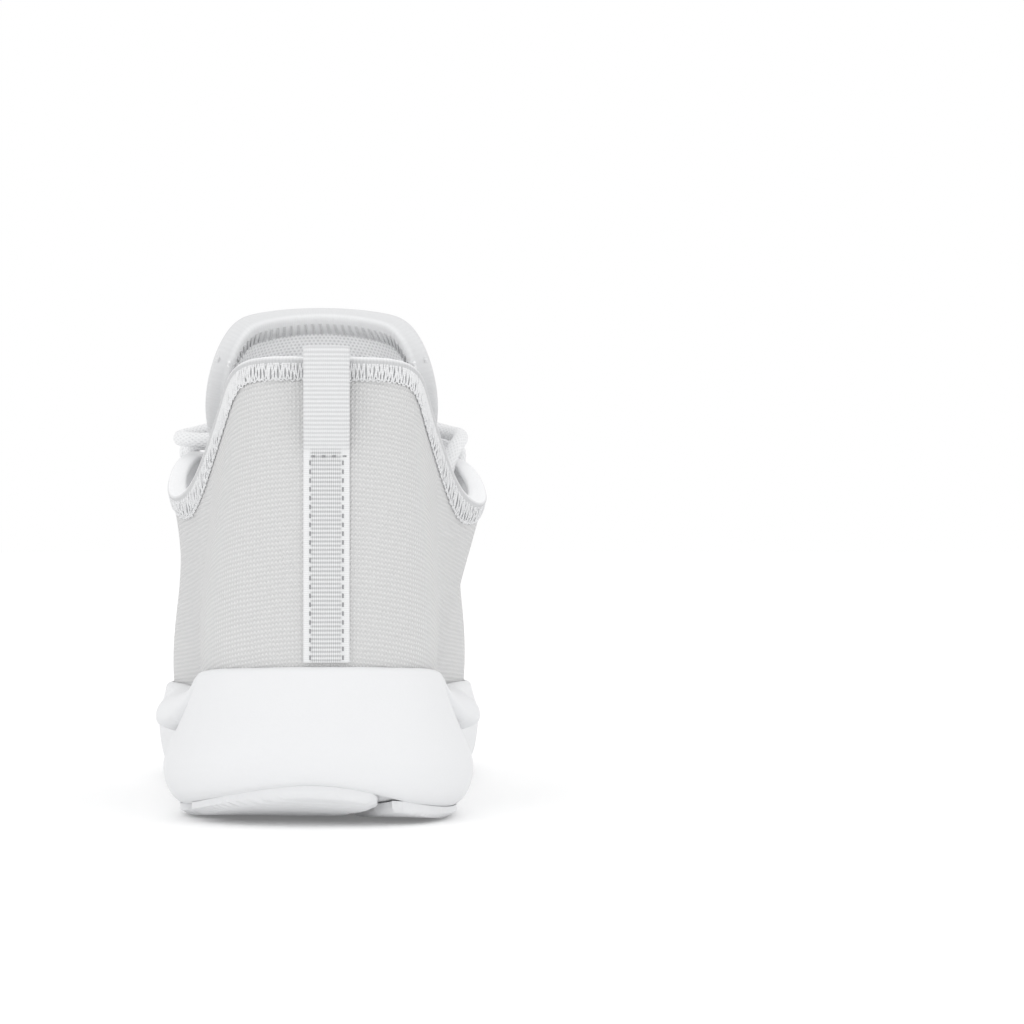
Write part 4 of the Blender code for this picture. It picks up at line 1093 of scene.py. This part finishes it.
def below_edge(t, distance):
    """Place (t, s) on the wall at this distance square to the opening's edge."""
    if float(station(t)) < THROAT_TURN:
        return t, float(s_below_top(np.array(t), distance))
    edge = wall(t, 1.0)
    along = wall(t + STEP, 1.0) - wall(t - STEP, 1.0)
    if float(station(t)) > THROAT_END - HAIR:
        return THROAT_END + distance / RIDGE_LENGTH * (TOE - THROAT_END), 1.0
    away = np.array([along[1], -along[0]]) / np.hypot(along[0], along[1])
    away = away if away[1] > 0 else -away
    t_guess = t + 0.1 * np.sign(TOE - t % STATIONS)
    return place_on_wall(edge[:2] + away * distance, (0, 1), t_guess, 0.95)


def topline():
    """The edge of the opening, from the throat's end along the inner side to the heel and on."""
    t = np.concatenate([
        np.linspace(-THROAT_END, -THROAT_TURN, 22)[:-1],
        np.linspace(-THROAT_TURN, THROAT_TURN, 260),
        np.linspace(THROAT_TURN, THROAT_END, 22)[1:],
    ])
    t[0], t[-1] = t[0] + 0.004, t[-1] - 0.004
    u = station(t)
    widening = SIDE_WIDENING * smooth_step(u, 1.0, 1.9) * (1 - smooth_step(u, 3.8, 5.0))
    low = np.array([below_edge(*pair) for pair in zip(t, EDGE_BAND + widening)])
    inner = lining_depth(t, np.ones_like(t)) + LINING
    return Edge(
        wall(t, 1.0), wall(low[:, 0], low[:, 1]), EDGE_BAND,
        wall_normal(t, np.ones_like(t)), wall_normal(low[:, 0], low[:, 1]), inner,
    )


def binding_outline(inner, reach_out, reach_in, roll):
    """The fold's section as (a, b): over the outer face, round the edge, down the inner."""
    return [
        (reach_out, -0.05), (reach_out - 0.15, -0.25), (reach_out - 0.9, -0.4),
        (reach_out * 0.55, -0.45), (1.3, -0.5), (0.7, -0.7), (0.1, -roll), (-0.4, -roll * 0.8),
        (-0.75, -0.2), (-0.85, inner * 0.25), (-0.85, inner * 0.7), (-0.65, inner + 0.1),
        (-0.2, inner + 0.5), (0.7, inner + 0.65), (reach_in * 0.6, inner + 0.55),
        (reach_in - 0.3, inner + 0.45), (reach_in, inner + 0.03),
        (reach_in * 0.5, inner + 0.02), (-0.1, inner + 0.02), (-0.25, inner * 0.5),
        (-0.1, -0.03), (reach_out * 0.5, -0.03),
    ]


def add_binding(name, edge, look, reach_out, reach_in, roll, closed, body="shoe"):
    """Tape folded over an edge, all round it if closed, otherwise from end to end."""
    along = np.linspace(0, edge.length, round(edge.length / 0.9))
    along = along[:-1] if closed else along
    outlines = np.array([
        binding_outline(edge.depth_inside(place), reach_out, reach_in, roll) for place in along
    ])
    sections = edge.at(along[:, None], outlines[..., 0], outlines[..., 1])
    mesh = sweep_mesh(name, sections, closed=closed, outlines=outlines)
    return add_piece(name, mesh, look, body, sharp=70)


def thread_rows(edge, slant, pitch, high, low, out=0.5, jitter=0.2):
    """Threads over the topline, from high to low below it, leaning by slant.

    They stand further apart and lean more down the collar's sides than round the heel.
    """
    fine = np.linspace(1, edge.length - 1, 2000)
    spread = 1 + SIDE_SPREAD * smooth_step(np.abs(fine - edge.length / 2), 24, 60)
    counted = np.concatenate([[0], np.cumsum(np.diff(fine) / spread[1:])])
    at = np.interp(np.arange(0, counted[-1], pitch), counted, fine)
    local = np.interp(at, fine, spread)
    shake = random.normal(0, 1, (3, len(at))) * jitter * local
    f = np.linspace(0, 1, THREAD_POINTS)[None, :]
    start, end = at + shake[0], at + slant * local + shake[1]
    along = np.clip(start[:, None] * (1 - f) + end[:, None] * f, fine[0], fine[-1])
    a = high + (low - high + 0.5 * shake[2][:, None]) * f
    arch = -out - 0.28 * np.sin(np.pi * f) ** 0.6 + 0 * a
    return edge.at(along, a, arch), edge.outwards(along)


def add_threads(name, paths, ups, radius, look=THREAD_LOOK, body="shoe"):
    """Sewn threads or stitches: a thin round strand along each path."""
    mesh = strands_mesh(name, paths, ups, radius, THREAD_SIDES)
    return add_piece(name, mesh, look, body, sharp=80)


def add_overlock():
    """The sewn edge of the opening: a tape over it and irregular overlock threads on that."""
    edge = topline()
    tape = add_binding(
        "topline_tape", edge, TRIM_LOOK,
        reach_out=4.3, reach_in=2.0, roll=0.95, closed=True,
    )
    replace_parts(tape, "collar_edge_band")
    paths, ups = zip(*(thread_rows(edge, *layer) for layer in THREAD_LAYERS))
    add_threads("topline_threads", np.concatenate(paths), np.concatenate(ups), 0.23)

    along = np.arange(1, edge.length - 1, 0.3)
    wander = 0.28 * np.sin(2 * np.pi * along / CHAIN_PITCH) + 0.12 * np.sin(along * 1.7)
    paths = [edge.at(along, below + wander, -0.45) for below in CHAIN_LINES]
    ups = [edge.outwards(along)] * len(paths)
    add_threads("topline_chain_threads", paths, ups, 0.2)


def stay_outline(side):
    """Places (t, s) round the eyestay's border, from its heel end near the edge."""
    u = np.linspace(*EYESTAY_SPAN, 60)
    near = s_below_top(side * u, EDGE_BAND + 0.9 + 3.4 * smooth_step(u, 8.0, 8.6))
    return side * u, s_below_top(side * u, EYESTAY_REACH), near


def add_eyestays():
    """The film along each row of eyelets, pinched thin at its ends, and its stitches."""
    for side, sign in SIDES:
        t, far, near = stay_outline(sign)
        across = np.linspace(0, 1, 20)
        from_end = np.minimum(np.arange(len(t)), np.arange(len(t))[::-1]) / 5.0
        pinch = 0.5 * (1 - np.sqrt(np.clip(1 - (1 - np.clip(from_end, 0, 1)) ** 2, 0, 1))) * 0.45
        share = pinch[:, None] + (1 - 2 * pinch[:, None]) * across
        s = far[:, None] + (near - far)[:, None] * share
        rise = 0.2 + 0.75 * np.clip(np.sin(np.pi * across), 0, 1) ** 0.25
        rise = rise[None, :] * (0.35 + 0.65 * np.clip(from_end, 0, 1) ** 0.5)[:, None]
        top = under_wall(t[:, None], s, -0.2 - rise)
        under = under_wall(t[:, None], s, -0.15)
        sections = np.concatenate([top, under[:, ::-1]], 1)
        mesh = sweep_mesh(f"eyestay_film_{side}", sections)
        obj = add_piece(f"eyestay_film_{side}", mesh, FILM_LOOK)
        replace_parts(obj, f"eyestay_{side}")
        dashes = []
        for row, inset in ((far, 1.4), (near, -1.2)):
            line = under_wall(t, row + inset / wall_length(t), -1.15)
            dashes.append(dashes_along(line[3:-3], 2.4, 1.6))
        dashes = np.concatenate(dashes)
        ups = np.broadcast_to(wall_normal(sign * 7.5, 0.8), dashes.shape)
        add_threads(f"eyestay_stitches_{side}", dashes, ups, 0.22)


def dashes_along(line, pitch, length):
    """Short stitches evenly spaced along a line, as points[stitch][k]."""
    along = distances(line)
    starts = np.arange(pitch / 2, along[-1] - length, pitch)
    marks = starts[:, None] + np.linspace(0, length, DASH_POINTS)[None, :]
    return read_along(marks, along, line)


def eyelet_frame(place):
    """Centre, axis, and direction to the throat of the eyelet at a place round the shoe."""
    s = float(s_below_top(np.array(place), EYELET_INSET))
    centre, axis = wall(place, s), wall_normal(place, s)
    to_edge = wall(place, 1.0) - centre
    return centre, axis, unit(to_edge - axis * (to_edge @ axis))


def add_eyelets():
    """Rounded eyelets, each a turned ring with a rolled flange."""
    profile = [(EYELET_BORE, EYELET_DEEP), (EYELET_BARREL, EYELET_DEEP)]
    profile += [(EYELET_BARREL, EYELET_PROUD), (EYELET_FLANGE, EYELET_PROUD)]
    profile.append((EYELET_FLANGE + 0.1, EYELET_PROUD + 0.3))
    roll = np.linspace(0, math.pi, 9)
    middle, half = (EYELET_FLANGE + EYELET_BORE) / 2, (EYELET_FLANGE - EYELET_BORE) / 2
    profile += [(middle + half * math.cos(a), 1.55 + 0.75 * math.sin(a)) for a in roll]
    for side, sign in SIDES:
        for number, u in enumerate(EYELET_STATIONS, 1):
            centre, axis, to_edge = eyelet_frame(sign * u)
            other = np.cross(axis, to_edge)
            sections = []
            for angle in np.linspace(0, 2 * math.pi, 36, endpoint=False):
                arm = to_edge * math.cos(angle) + other * math.sin(angle)
                sections.append([centre + arm * r + axis * h for r, h in profile])
            name = f"eyelet_ring_{side}_{number}"
            mesh = sweep_mesh(name, sections, closed=True)
            obj = add_piece(name, mesh, FILM_LOOK)
            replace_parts(obj, f"eyelet_{side}_{number}")


# ---------------------------------------------------------------- tongue

tongue_line, tongue_lean = spline(TONGUE_LINE), spline(TONGUE_LEAN)
tongue_half_width, tongue_sag = spline(TONGUE_HALF_WIDTH), spline(TONGUE_SAG)
tongue_arc = spline(TONGUE_ARC)
TONGUE_COLUMNS, TONGUE_ROWS = 61, 150


def tongue_face(v, share):
    """Point of the tongue's outer face, v along its line, share -1 to 1 across it."""
    v, share = np.broadcast_arrays(np.asarray(v, float), np.asarray(share, float))
    arc = share * np.radians(tongue_arc(v))
    lean = np.radians(tongue_lean(v))
    line = tongue_line(v)
    fall = tongue_sag(v) * (1 - np.cos(arc))
    return np.stack([
        tongue_half_width(v) * np.sin(arc) + TONGUE_SHIFT * smooth_step(v, 3, 5),
        line[..., 0] - fall * np.cos(lean),
        line[..., 1] - fall * np.sin(lean),
    ], -1)


def tongue_normal(v, share):
    v = np.clip(v, STEP, TONGUE_TOP - STEP)
    along = tongue_face(v + STEP, share) - tongue_face(v - STEP, share)
    across = tongue_face(v, share + STEP) - tongue_face(v, share - STEP)
    return unit(np.cross(along, across))


def tongue_point(v, share, depth):
    return tongue_face(v, share) - tongue_normal(v, share) * np.asarray(depth, float)[..., None]


def tongue_top(share):
    """v of the tongue's top edge, rounded off at its corners."""
    return TONGUE_TOP - 0.42 * smooth_step(np.abs(share), 0.72, 1.06)


def tongue_sheet(name, depth, thickness, look):
    """A sheet over the whole tongue, at a depth below its outer face."""
    share = np.linspace(-1, 1, TONGUE_COLUMNS)[:, None]
    v = tongue_top(share) * np.linspace(0, 1, TONGUE_ROWS)[None, :]
    share = share + 0 * v
    points = tongue_point(v, share, depth + 0 * v)
    uv = np.stack([share * TONGUE_CLOTH, v * TONGUE_STEP], -1)
    obj = add_piece(name, grid_mesh(name, points, uv), look, body=None)
    thicken(obj, thickness)
    return obj


def tongue_edge():
    """The tongue's free edge: up one side, round the corners and down the other."""
    side = np.linspace(RIM_START, float(tongue_top(1.0)), 40)
    across = np.linspace(-1, 1, 81)
    v = np.concatenate([side[:-1], tongue_top(across), side[-2::-1]])
    share = np.concatenate([-1 + 0 * side[:-1], across, 1 + 0 * side[:-1]])
    flat = resampled(np.stack([share * TONGUE_CLOTH, v * TONGUE_STEP], -1), RIM_SPACING)
    width = int(RIM_CORNER / RIM_SPACING)
    flat = softened(flat, width, "reflect", reflect_type="odd")
    along = unit(np.gradient(flat, axis=0))
    inwards = np.stack([along[:, 1], -along[:, 0]], -1)
    inner = flat + inwards * EDGE_BAND
    top_at, low_at = ((p[:, 1] / TONGUE_STEP, p[:, 0] / TONGUE_CLOTH) for p in (flat, inner))
    return Edge(
        tongue_face(*top_at), tongue_face(*low_at), EDGE_BAND,
        tongue_normal(*top_at), tongue_normal(*low_at), TONGUE_THICKNESS + 0 * flat[:, 0],
    )


def bend_at_fold(obj):
    """Bakes the piece's placement into its mesh."""
    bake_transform(obj)


def add_tongue():
    """The tongue's knit, mesh lining and padding, and its rolled edge with stitches."""
    cover = tongue_sheet("tongue_cover", 0.0, TONGUE_KNIT, RIM_LOOK)
    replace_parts(cover, "tongue_lower_knit", "tongue_upper_knit")
    lining = tongue_sheet(
        "tongue_mesh_lining", TONGUE_THICKNESS - TONGUE_MESH, TONGUE_MESH, MESH_LOOK,
    )
    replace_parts(lining, "tongue_lower_lining", "tongue_upper_lining")

    v = np.linspace(0.02, TONGUE_TOP - 0.15, 90)
    share = np.linspace(-0.97, 0.97, 40)
    sections = []
    for at in v:
        inside = np.where(tongue_top(share) - 0.1 > at, at, tongue_top(share) - 0.1)
        outer = tongue_point(inside, share, TONGUE_KNIT + 0.1 + 0 * share)
        inner = tongue_point(inside, share, TONGUE_THICKNESS - TONGUE_MESH - 0.1 + 0 * share)
        sections.append(np.concatenate([outer, inner[::-1]]))
    mesh = sweep_mesh("tongue_padding", sections)
    padding = add_piece("tongue_padding", mesh, FOAM_CORE_LOOK, body=None)
    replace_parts(padding, "tongue_lower_foam", "tongue_upper_foam")

    edge = tongue_edge()
    rolled = add_binding(
        "tongue_rolled_edge", edge, ROLL_LOOK,
        reach_out=5.0, reach_in=5.2, roll=0.6, closed=False, body=None,
    )
    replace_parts(rolled, "tongue_edge_band")
    paths, ups = [], []
    for slant, shift in ((0.7, 0.0), (0.7, 0.55)):
        at = np.arange(2 + shift, edge.length - 2, 2.5)
        f = np.linspace(0, 1, THREAD_POINTS)[None, :]
        along = at[:, None] + slant * f
        a = 1.6 + 3.2 * f + 0 * along
        lift = TONGUE_THICKNESS + 0.72 + 0.12 * np.sin(np.pi * f) + 0 * along
        paths.append(edge.at(along, a, lift))
        ups.append(-edge.outwards(along))
    paths, ups = np.concatenate(paths), np.concatenate(ups)
    stitches = add_threads("tongue_edge_stitches", paths, ups, 0.2, SEAM_LOOK, None)
    for obj in (cover, lining, padding, rolled, stitches):
        bend_at_fold(obj)


# ---------------------------------------------------------------- pull tab


def heel_surface():
    """y of the knit's back at (x, z), as a smooth function fitted to the heel's wall."""
    spots = [(x, z) for x in np.linspace(-8, 8, 7) for z in np.linspace(38, 120.5, 12)]
    y = []
    for x, z in spots:
        y.append(wall(*place_on_wall((x, z), (0, 2), -x / 18, 0.5))[1])
    x, z = np.array(spots).T
    terms = [(i, k) for i in range(5) for k in range(6)]
    basis = np.stack([(x / 8) ** i * ((z - 80) / 40) ** k for i, k in terms], -1)
    fit = np.linalg.lstsq(basis, np.array(y), rcond=None)[0]

    def at(x, z):
        x, z = np.broadcast_arrays(np.asarray(x, float), np.asarray(z, float))
        z = np.minimum(z, 120.5)
        return sum(c * (x / 8) ** i * ((z - 80) / 40) ** k for c, (i, k) in zip(fit, terms))

    return at


def tab_line():
    """The webbing's centre line as (height, out from the knit), foot to fold to inner end."""
    fold = (LOOP_FAR - LOOP_NEAR) / 2
    top = LOOP_TOP - WEBBING / 2 - fold
    rise = [(STRAP_FOOT, 0.8), (60, 0.8), (80, 0.8), (94, 0.85), (97, 0.95), (101, 2.6)]
    rise += [(106, LOOP_FAR - 0.3), (113, LOOP_FAR), (top, LOOP_FAR)]
    turn = [
        (top + math.sin(a) * fold, LOOP_NEAR + fold + math.cos(a) * fold)
        for a in np.linspace(0, math.pi, 13)[1:-1]
    ]
    back = [(top, LOOP_NEAR), (115, LOOP_NEAR), (107, LOOP_NEAR - 0.2), (101.5, LOOP_NEAR - 0.5)]
    line = np.array(rise + turn + back)
    fine = np.concatenate([
        np.linspace(a, b, 12, endpoint=False) for a, b in zip(line, line[1:])
    ] + [line[-1:]])
    return resampled(softened(fine, TAB_ROUNDING), TAB_SPACING)


def add_pull_tab():
    """The webbing up the heel and its free loop, stitched down as far as the hinge."""
    heel_y = heel_surface()
    line = tab_line()
    gone = distances(line)
    x = np.linspace(-1, 1, 25)
    x = WEBBING_WIDTH / 2 * np.sign(x) * (1 - (1 - np.abs(x)) ** 1.3)
    loop = smooth_step(gone, LOOP_FROM - LOOP_FADE, LOOP_FROM + LOOP_FADE)
    ribs = (0.11 - 0.06 * loop) * np.cos(2 * np.pi * gone / RIB)
    inside = 1 - smooth_step(np.abs(x), STITCH_LINE - 0.5, STITCH_LINE + 0.2)
    relief = ribs[:, None] * (0.25 + 0.75 * np.maximum(inside, loop[:, None]))
    sunk = 0.16 * (1 - loop)[:, None] * inside
    edge = 0.42 * (np.abs(x) / (WEBBING_WIDTH / 2)) ** 14
    half = WEBBING / 2 - edge
    z = np.broadcast_to(line[:, :1], relief.shape)
    out = line[:, 1:]
    middle = np.stack([np.broadcast_to(x, z.shape), heel_y(x, z) - out, z], -1)
    run = np.gradient(middle, axis=0)
    away = unit(np.cross((1.0, 0, 0), run))
    front = middle + away * (half + relief - sunk)[..., None]
    rear = middle - away * (half + 0 * relief)[..., None]
    sections = np.concatenate([front, rear[:, ::-1]], 1)
    mesh = sweep_mesh("tab_webbing", sections, along_mm=gone)
    webbing = add_piece("tab_webbing", mesh, WEBBING_LOOK, None, sharp=75)
    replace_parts(webbing, "pull_tab_strap", "pull_tab_loop")

    def on_strap(x, z, out):
        return np.stack([x + 0 * z, heel_y(x, z) - out, z + 0 * x], -1)

    z = np.linspace(STRAP_FOOT + 0.6, TAB_HINGE_HEIGHT - 0.8, 200)
    dashes = [
        dashes_along(on_strap(side * STITCH_LINE, z, STITCH_OUT), STITCH_PITCH, STITCH)
        for side in (-1, 1)
    ]
    x = np.linspace(-STITCH_LINE - 1, STITCH_LINE + 1, 40)
    across = on_strap(x, TAB_HINGE_HEIGHT - 0.6 + 0 * x, CROSS_STITCH_OUT)
    dashes.append(dashes_along(across, 2.7, 1.0))
    dashes = np.concatenate(dashes)
    backwards = np.broadcast_to((0.0, -1.0, 0.0), dashes.shape)
    # The tab's stitches carry painted shade: their dark colour stands for the shade in the needle
    # holes.
    stitches = add_threads("tab_stitches", dashes, backwards, 0.24, SHADED_STITCH_LOOK, None)
    pivot = on_strap(np.array(0.0), np.array(TAB_HINGE_HEIGHT), 1.3)
    for obj in (webbing, stitches):
        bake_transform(obj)


# ---------------------------------------------------------------- laces


def tongue_height(x, y):
    """Height of the tongue's outer face at x and y."""
    v, share = np.meshgrid(np.linspace(0, TONGUE_FOLD, 160), np.linspace(-1, 1, 81))
    face = tongue_face(v, share)
    nearest = np.argmin((face[..., 0] - x) ** 2 + (face[..., 1] - y) ** 2)
    return face.reshape(-1, 3)[nearest][2]


def eyelet_pass(place, last):
    """Lace points over the quarter and into an eyelet, then out of it and under the quarter."""
    centre, axis, to_edge = eyelet_frame(place)
    side = math.copysign(1, place)
    corner = LACE_TURN * (1 - math.cos(math.pi / 4))

    def run(height, into, slant):
        near, far = (
            under_wall(t, float(s_below_top(np.array(t), below)), -height)
            for t, below in ((place + slant * side, 1.0), (place + 0.4 * slant * side, 5.5))
        )
        return [
            near + (near - far) * (0.6 if into < 0 else 1.0), near,
            centre + to_edge * LACE_TURN + axis * height,
            centre + to_edge * corner + axis * (height - into * (LACE_TURN - corner)),
            centre + axis * (height - into * LACE_TURN),
        ][:: 1 if into > 0 else -1]

    return run(OVER_QUARTER, 1, -0.1), run(-UNDER_QUARTER, -1, 0 if last else 0.16)


def lacing_path():
    """The lace from the knot down one zigzag, across at the last eyelets and back up."""
    rows = list(range(len(EYELET_STATIONS)))
    eyelets = {
        side: [eyelet_frame(sign * EYELET_STATIONS[row])[0] for row in rows]
        for side, sign in SIDES
    }

    def middle(row, raised):
        y = np.mean([eyelets[side][r][1] for side in eyelets for r in (row, row + 1)])
        rise = LACE_RADIUS + ABOVE_TONGUE + CROSSING_RISE * raised
        return np.array([0, y, tongue_height(0, y) + rise])

    def half_lace(side, lead):
        points = [lead]
        for row in rows:
            place = EYELET_STATIONS[row] * (1 if side == "outer" else -1)
            over, under = eyelet_pass(place, last=row == rows[-1])
            points += over + under
            if row < rows[-1]:
                points.append(middle(row, raised=(row % 2 == 0) == (side == "outer")))
            side = "inner" if side == "outer" else "outer"
        return points

    y = eyelets["outer"][-1][1]
    bar = np.array([0, y, tongue_height(0, y) + LACE_RADIUS + ABOVE_TONGUE])
    down = half_lace("outer", np.array(KNOT) + (-7.0, 3.6, -2.6))
    up = half_lace("inner", np.array(KNOT) + (7.0, 3.6, -2.6))
    return down + [bar] + up[::-1]


def lacing_between_eyelets():
    """The lacing, tightly rounded at the eyelets and loosely where its strands cross."""
    fine = resampled(lacing_path(), LACE_SPACING)
    tight, loose = rounded_path(fine, LACE_TIGHT), rounded_path(fine, LACE_LOOSE)
    middle = 1 - smooth_step(np.abs(tight[:, :1]), 6, 14)
    return tight * (1 - middle) + loose * middle



def lace_mesh(name, path, radius=LACE_RADIUS, sides=32):
    """A braided round lace: small diamonds stand out all over it."""
    gone = distances(path)
    turn = np.arange(sides) / sides * 2 * np.pi
    swell = np.cos(BRAID_BUMPS * turn)[None, :] * np.cos(2 * np.pi * gone / BRAID_PITCH)[:, None]
    rings = radius - BRAID_DEPTH + BRAID_DEPTH * swell
    return strands_mesh(name, path[None], carried_ups(path)[None], rings[None], sides)


def rounded_path(points, radius):
    """A lace's path with its corners rounded, evenly spaced."""
    return softened(resampled(points, LACE_SPACING), max(1, int(radius / LACE_SPACING)))


def knot_path():
    """One lace wound about itself as a snug overhand knot."""
    turn = np.linspace(0, 2 * math.pi, 160, endpoint=False)
    x = np.sin(turn) + 2 * np.sin(2 * turn)
    y = np.cos(turn) - 2 * np.cos(2 * turn)
    z = -np.sin(3 * turn)
    return np.array(KNOT) + np.stack([x, z, y], -1) * KNOT_SCALE


def into_knot(path, both_ends=False):
    """The path with straight leads from inside the knot to its start, and its end if asked."""

    def lead(end):
        return resampled([KNOT + LEAD_SHARE * (end - KNOT), end], LACE_SPACING)

    parts = [lead(path[0])[:-1], path]
    if both_ends:
        parts.append(lead(path[-1])[-2::-1])
    return rounded_path(np.concatenate(parts), LEAD_ROUNDING)


def add_cord(name, path, replaced=()):
    mesh = lace_mesh(name, path)
    obj = add_piece(name, mesh, LACE_LOOK, sharp=80)
    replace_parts(obj, *replaced)
    return obj


def add_laces():
    """The lacing, the knot, two bow loops, and two tails that end in aglets."""
    lacing = into_knot(lacing_between_eyelets(), both_ends=True)
    mesh = lace_mesh("lacing", lacing, sides=24)
    obj = add_piece("lacing", mesh, LACE_LOOK, sharp=80)
    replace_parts(obj, "lace_lacing")

    knot = knot_path()
    closed = np.concatenate([knot, knot[:2]])
    mesh = lace_mesh("bow_knot", closed, KNOT_LACE_RADIUS, sides=24)
    obj = add_piece("bow_knot", mesh, LACE_LOOK, sharp=80)
    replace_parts(obj, "lace_knot")

    for side, route in (("outer", BOW_OUTER), ("inner", BOW_INNER)):
        path = into_knot(smooth_path(route, LACE_SPACING), both_ends=True)
        add_cord(
            f"bow_{side}", path, replaced=[f"bow_loop_{side}"]
        )
    for side, sign, marks in (("outer", -1, END_OUTER), ("inner", 1, END_INNER)):
        start = np.array(KNOT) + (4.5 * sign, 7.2, 2.6)
        points = [start, start + (6 * sign, 4.5, 1.5)]
        for t, distance, height in marks:
            points.append(under_wall(t, float(s_below_top(np.array(t), distance)), -height))
        coarse = smooth_path(points, 5.0)
        path = into_knot(smooth_path(points, LACE_SPACING))
        ahead = unit(coarse[-1] - coarse[-2])
        tip = add_aglet(side, coarse[-1] + ahead * GAP, ahead)
        add_cord(
            f"lace_tail_{side}", path, [f"lace_end_{side}"]
        )


def add_aglet(side, first, ahead):
    """The lace's tip: a slim crimped sleeve with a rounded end."""
    f = np.linspace(0, 1, 60)
    path = first + ahead * AGLET_LENGTH * f[:, None]
    crimp = 0.12 * np.exp(-(((f - 0.12) / 0.03) ** 2)) + 0.12 * np.exp(-(((f - 0.3) / 0.03) ** 2))
    end = np.sqrt(np.clip(1 - (np.clip(f - 0.93, 0, 1) / 0.075) ** 2, 0.02, 1))
    radius = (AGLET_RADIUS - 0.15 - crimp) * end
    mesh = strands_mesh(
        f"lace_tip_{side}", path[None], carried_ups(path)[None], radius[None, :, None], 28
    )
    tip = add_piece(f"lace_tip_{side}", mesh, AGLET_LOOK)
    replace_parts(tip, f"aglet_{side}")
    return tip


# ---------------------------------------------------------------- stage

CAMERA_BACK, CAMERA_HEIGHT = 1045.0, 81.9
CAMERA_LENS, CAMERA_TURN = 122.6, 3.045
# Name, place and size in metres, and power in watts.
LIGHTS = [
    ("front_light", (-0.25, -1.7, 0.45), 0.9, 2.6),
    ("key_light", (-0.9, -1.0, 1.4), 1.0, 1.8),
    ("side_light", (1.4, -0.2, 0.9), 1.0, 1.2),
    ("toe_light", (0.2, 1.4, 1.1), 1.0, 1.6),
]
FLOOR_RINGS, FLOOR_SIDES = (0.4, 1.5, 6.0), 96


def add_camera():
    """At the photograph's height and distance behind the heel, turned a little inwards."""
    data = bpy.data.cameras.new("camera")
    data.lens = CAMERA_LENS
    data.sensor_width = 36.0
    camera = bpy.data.objects.new("camera", data)
    camera.location = in_metres((0, -CAMERA_BACK, CAMERA_HEIGHT))
    camera.rotation_euler = (math.pi / 2, 0, -math.radians(CAMERA_TURN))
    bpy.context.scene.collection.objects.link(camera)
    bpy.context.scene.camera = camera


def add_light(name, place, size, power):
    """A soft square light aimed at the shoe."""
    data = bpy.data.lights.new(name, "AREA")
    data.size = size
    data.energy = power
    light = bpy.data.objects.new(name, data)
    light.location = place
    centre = (cad_box[0] + cad_box[1]) / 2
    light.rotation_mode = "QUATERNION"
    light.rotation_quaternion = (centre - light.location).to_track_quat("-Z", "Y")
    bpy.context.scene.collection.objects.link(light)


def add_studio():
    """White surroundings and soft lights."""
    world = bpy.data.worlds.new("studio")
    world.use_nodes = True
    background = world.node_tree.nodes["Background"]
    background.inputs["Color"].default_value = (1, 1, 1, 1)
    background.inputs["Strength"].default_value = 1.0
    bpy.context.scene.world = world
    bpy.context.scene.view_settings.view_transform = "Standard"
    for light in LIGHTS:
        add_light(*light)


def add_floor():
    """A wide pale disc that shines a little, so that it stays as light as the backdrop."""
    floor = Look("pale_floor", roughness=0.9, specular=0.0)
    floor.colour(floor.noise(3), grey(0.94, 0.0), grey(0.95, 0.0))
    floor.shader.inputs["Emission Color"].default_value = (1, 1, 1, 1)
    floor.shader.inputs["Emission Strength"].default_value = 0.08
    mesh = bpy.data.meshes.new("floor")
    angles = np.linspace(0, 2 * math.pi, FLOOR_SIDES, endpoint=False)
    rings = [[(r * math.cos(a), r * math.sin(a), 0.0) for a in angles] for r in FLOOR_RINGS]
    corners = [p for ring in rings for p in ring]
    faces = [list(range(len(angles)))]
    for ring in range(len(rings) - 1):
        base = ring * len(angles)
        for k in range(len(angles)):
            j = (k + 1) % len(angles)
            faces.append([base + k, base + len(angles) + k, base + len(angles) + j, base + j])
    mesh.from_pydata(corners, [], faces)
    mesh.materials.append(floor.material)
    obj = bpy.data.objects.new("floor", mesh)
    bpy.context.scene.collection.objects.link(obj)


def dress_cad_nodes():
    """The hidden stiffeners keep their CAD shape and get their own finish."""
    for name in ("lasting_board", "heel_counter", "toe_puff"):
        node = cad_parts[name]
        node.data.materials.clear()
        node.data.materials.append(BOARD_LOOK.material)


add_camera()
add_studio()
add_floor()
add_foam()
add_pads()
add_insole()
add_upper()
add_overlock()
add_eyestays()
add_eyelets()
add_tongue()
add_pull_tab()
add_laces()
dress_cad_nodes()
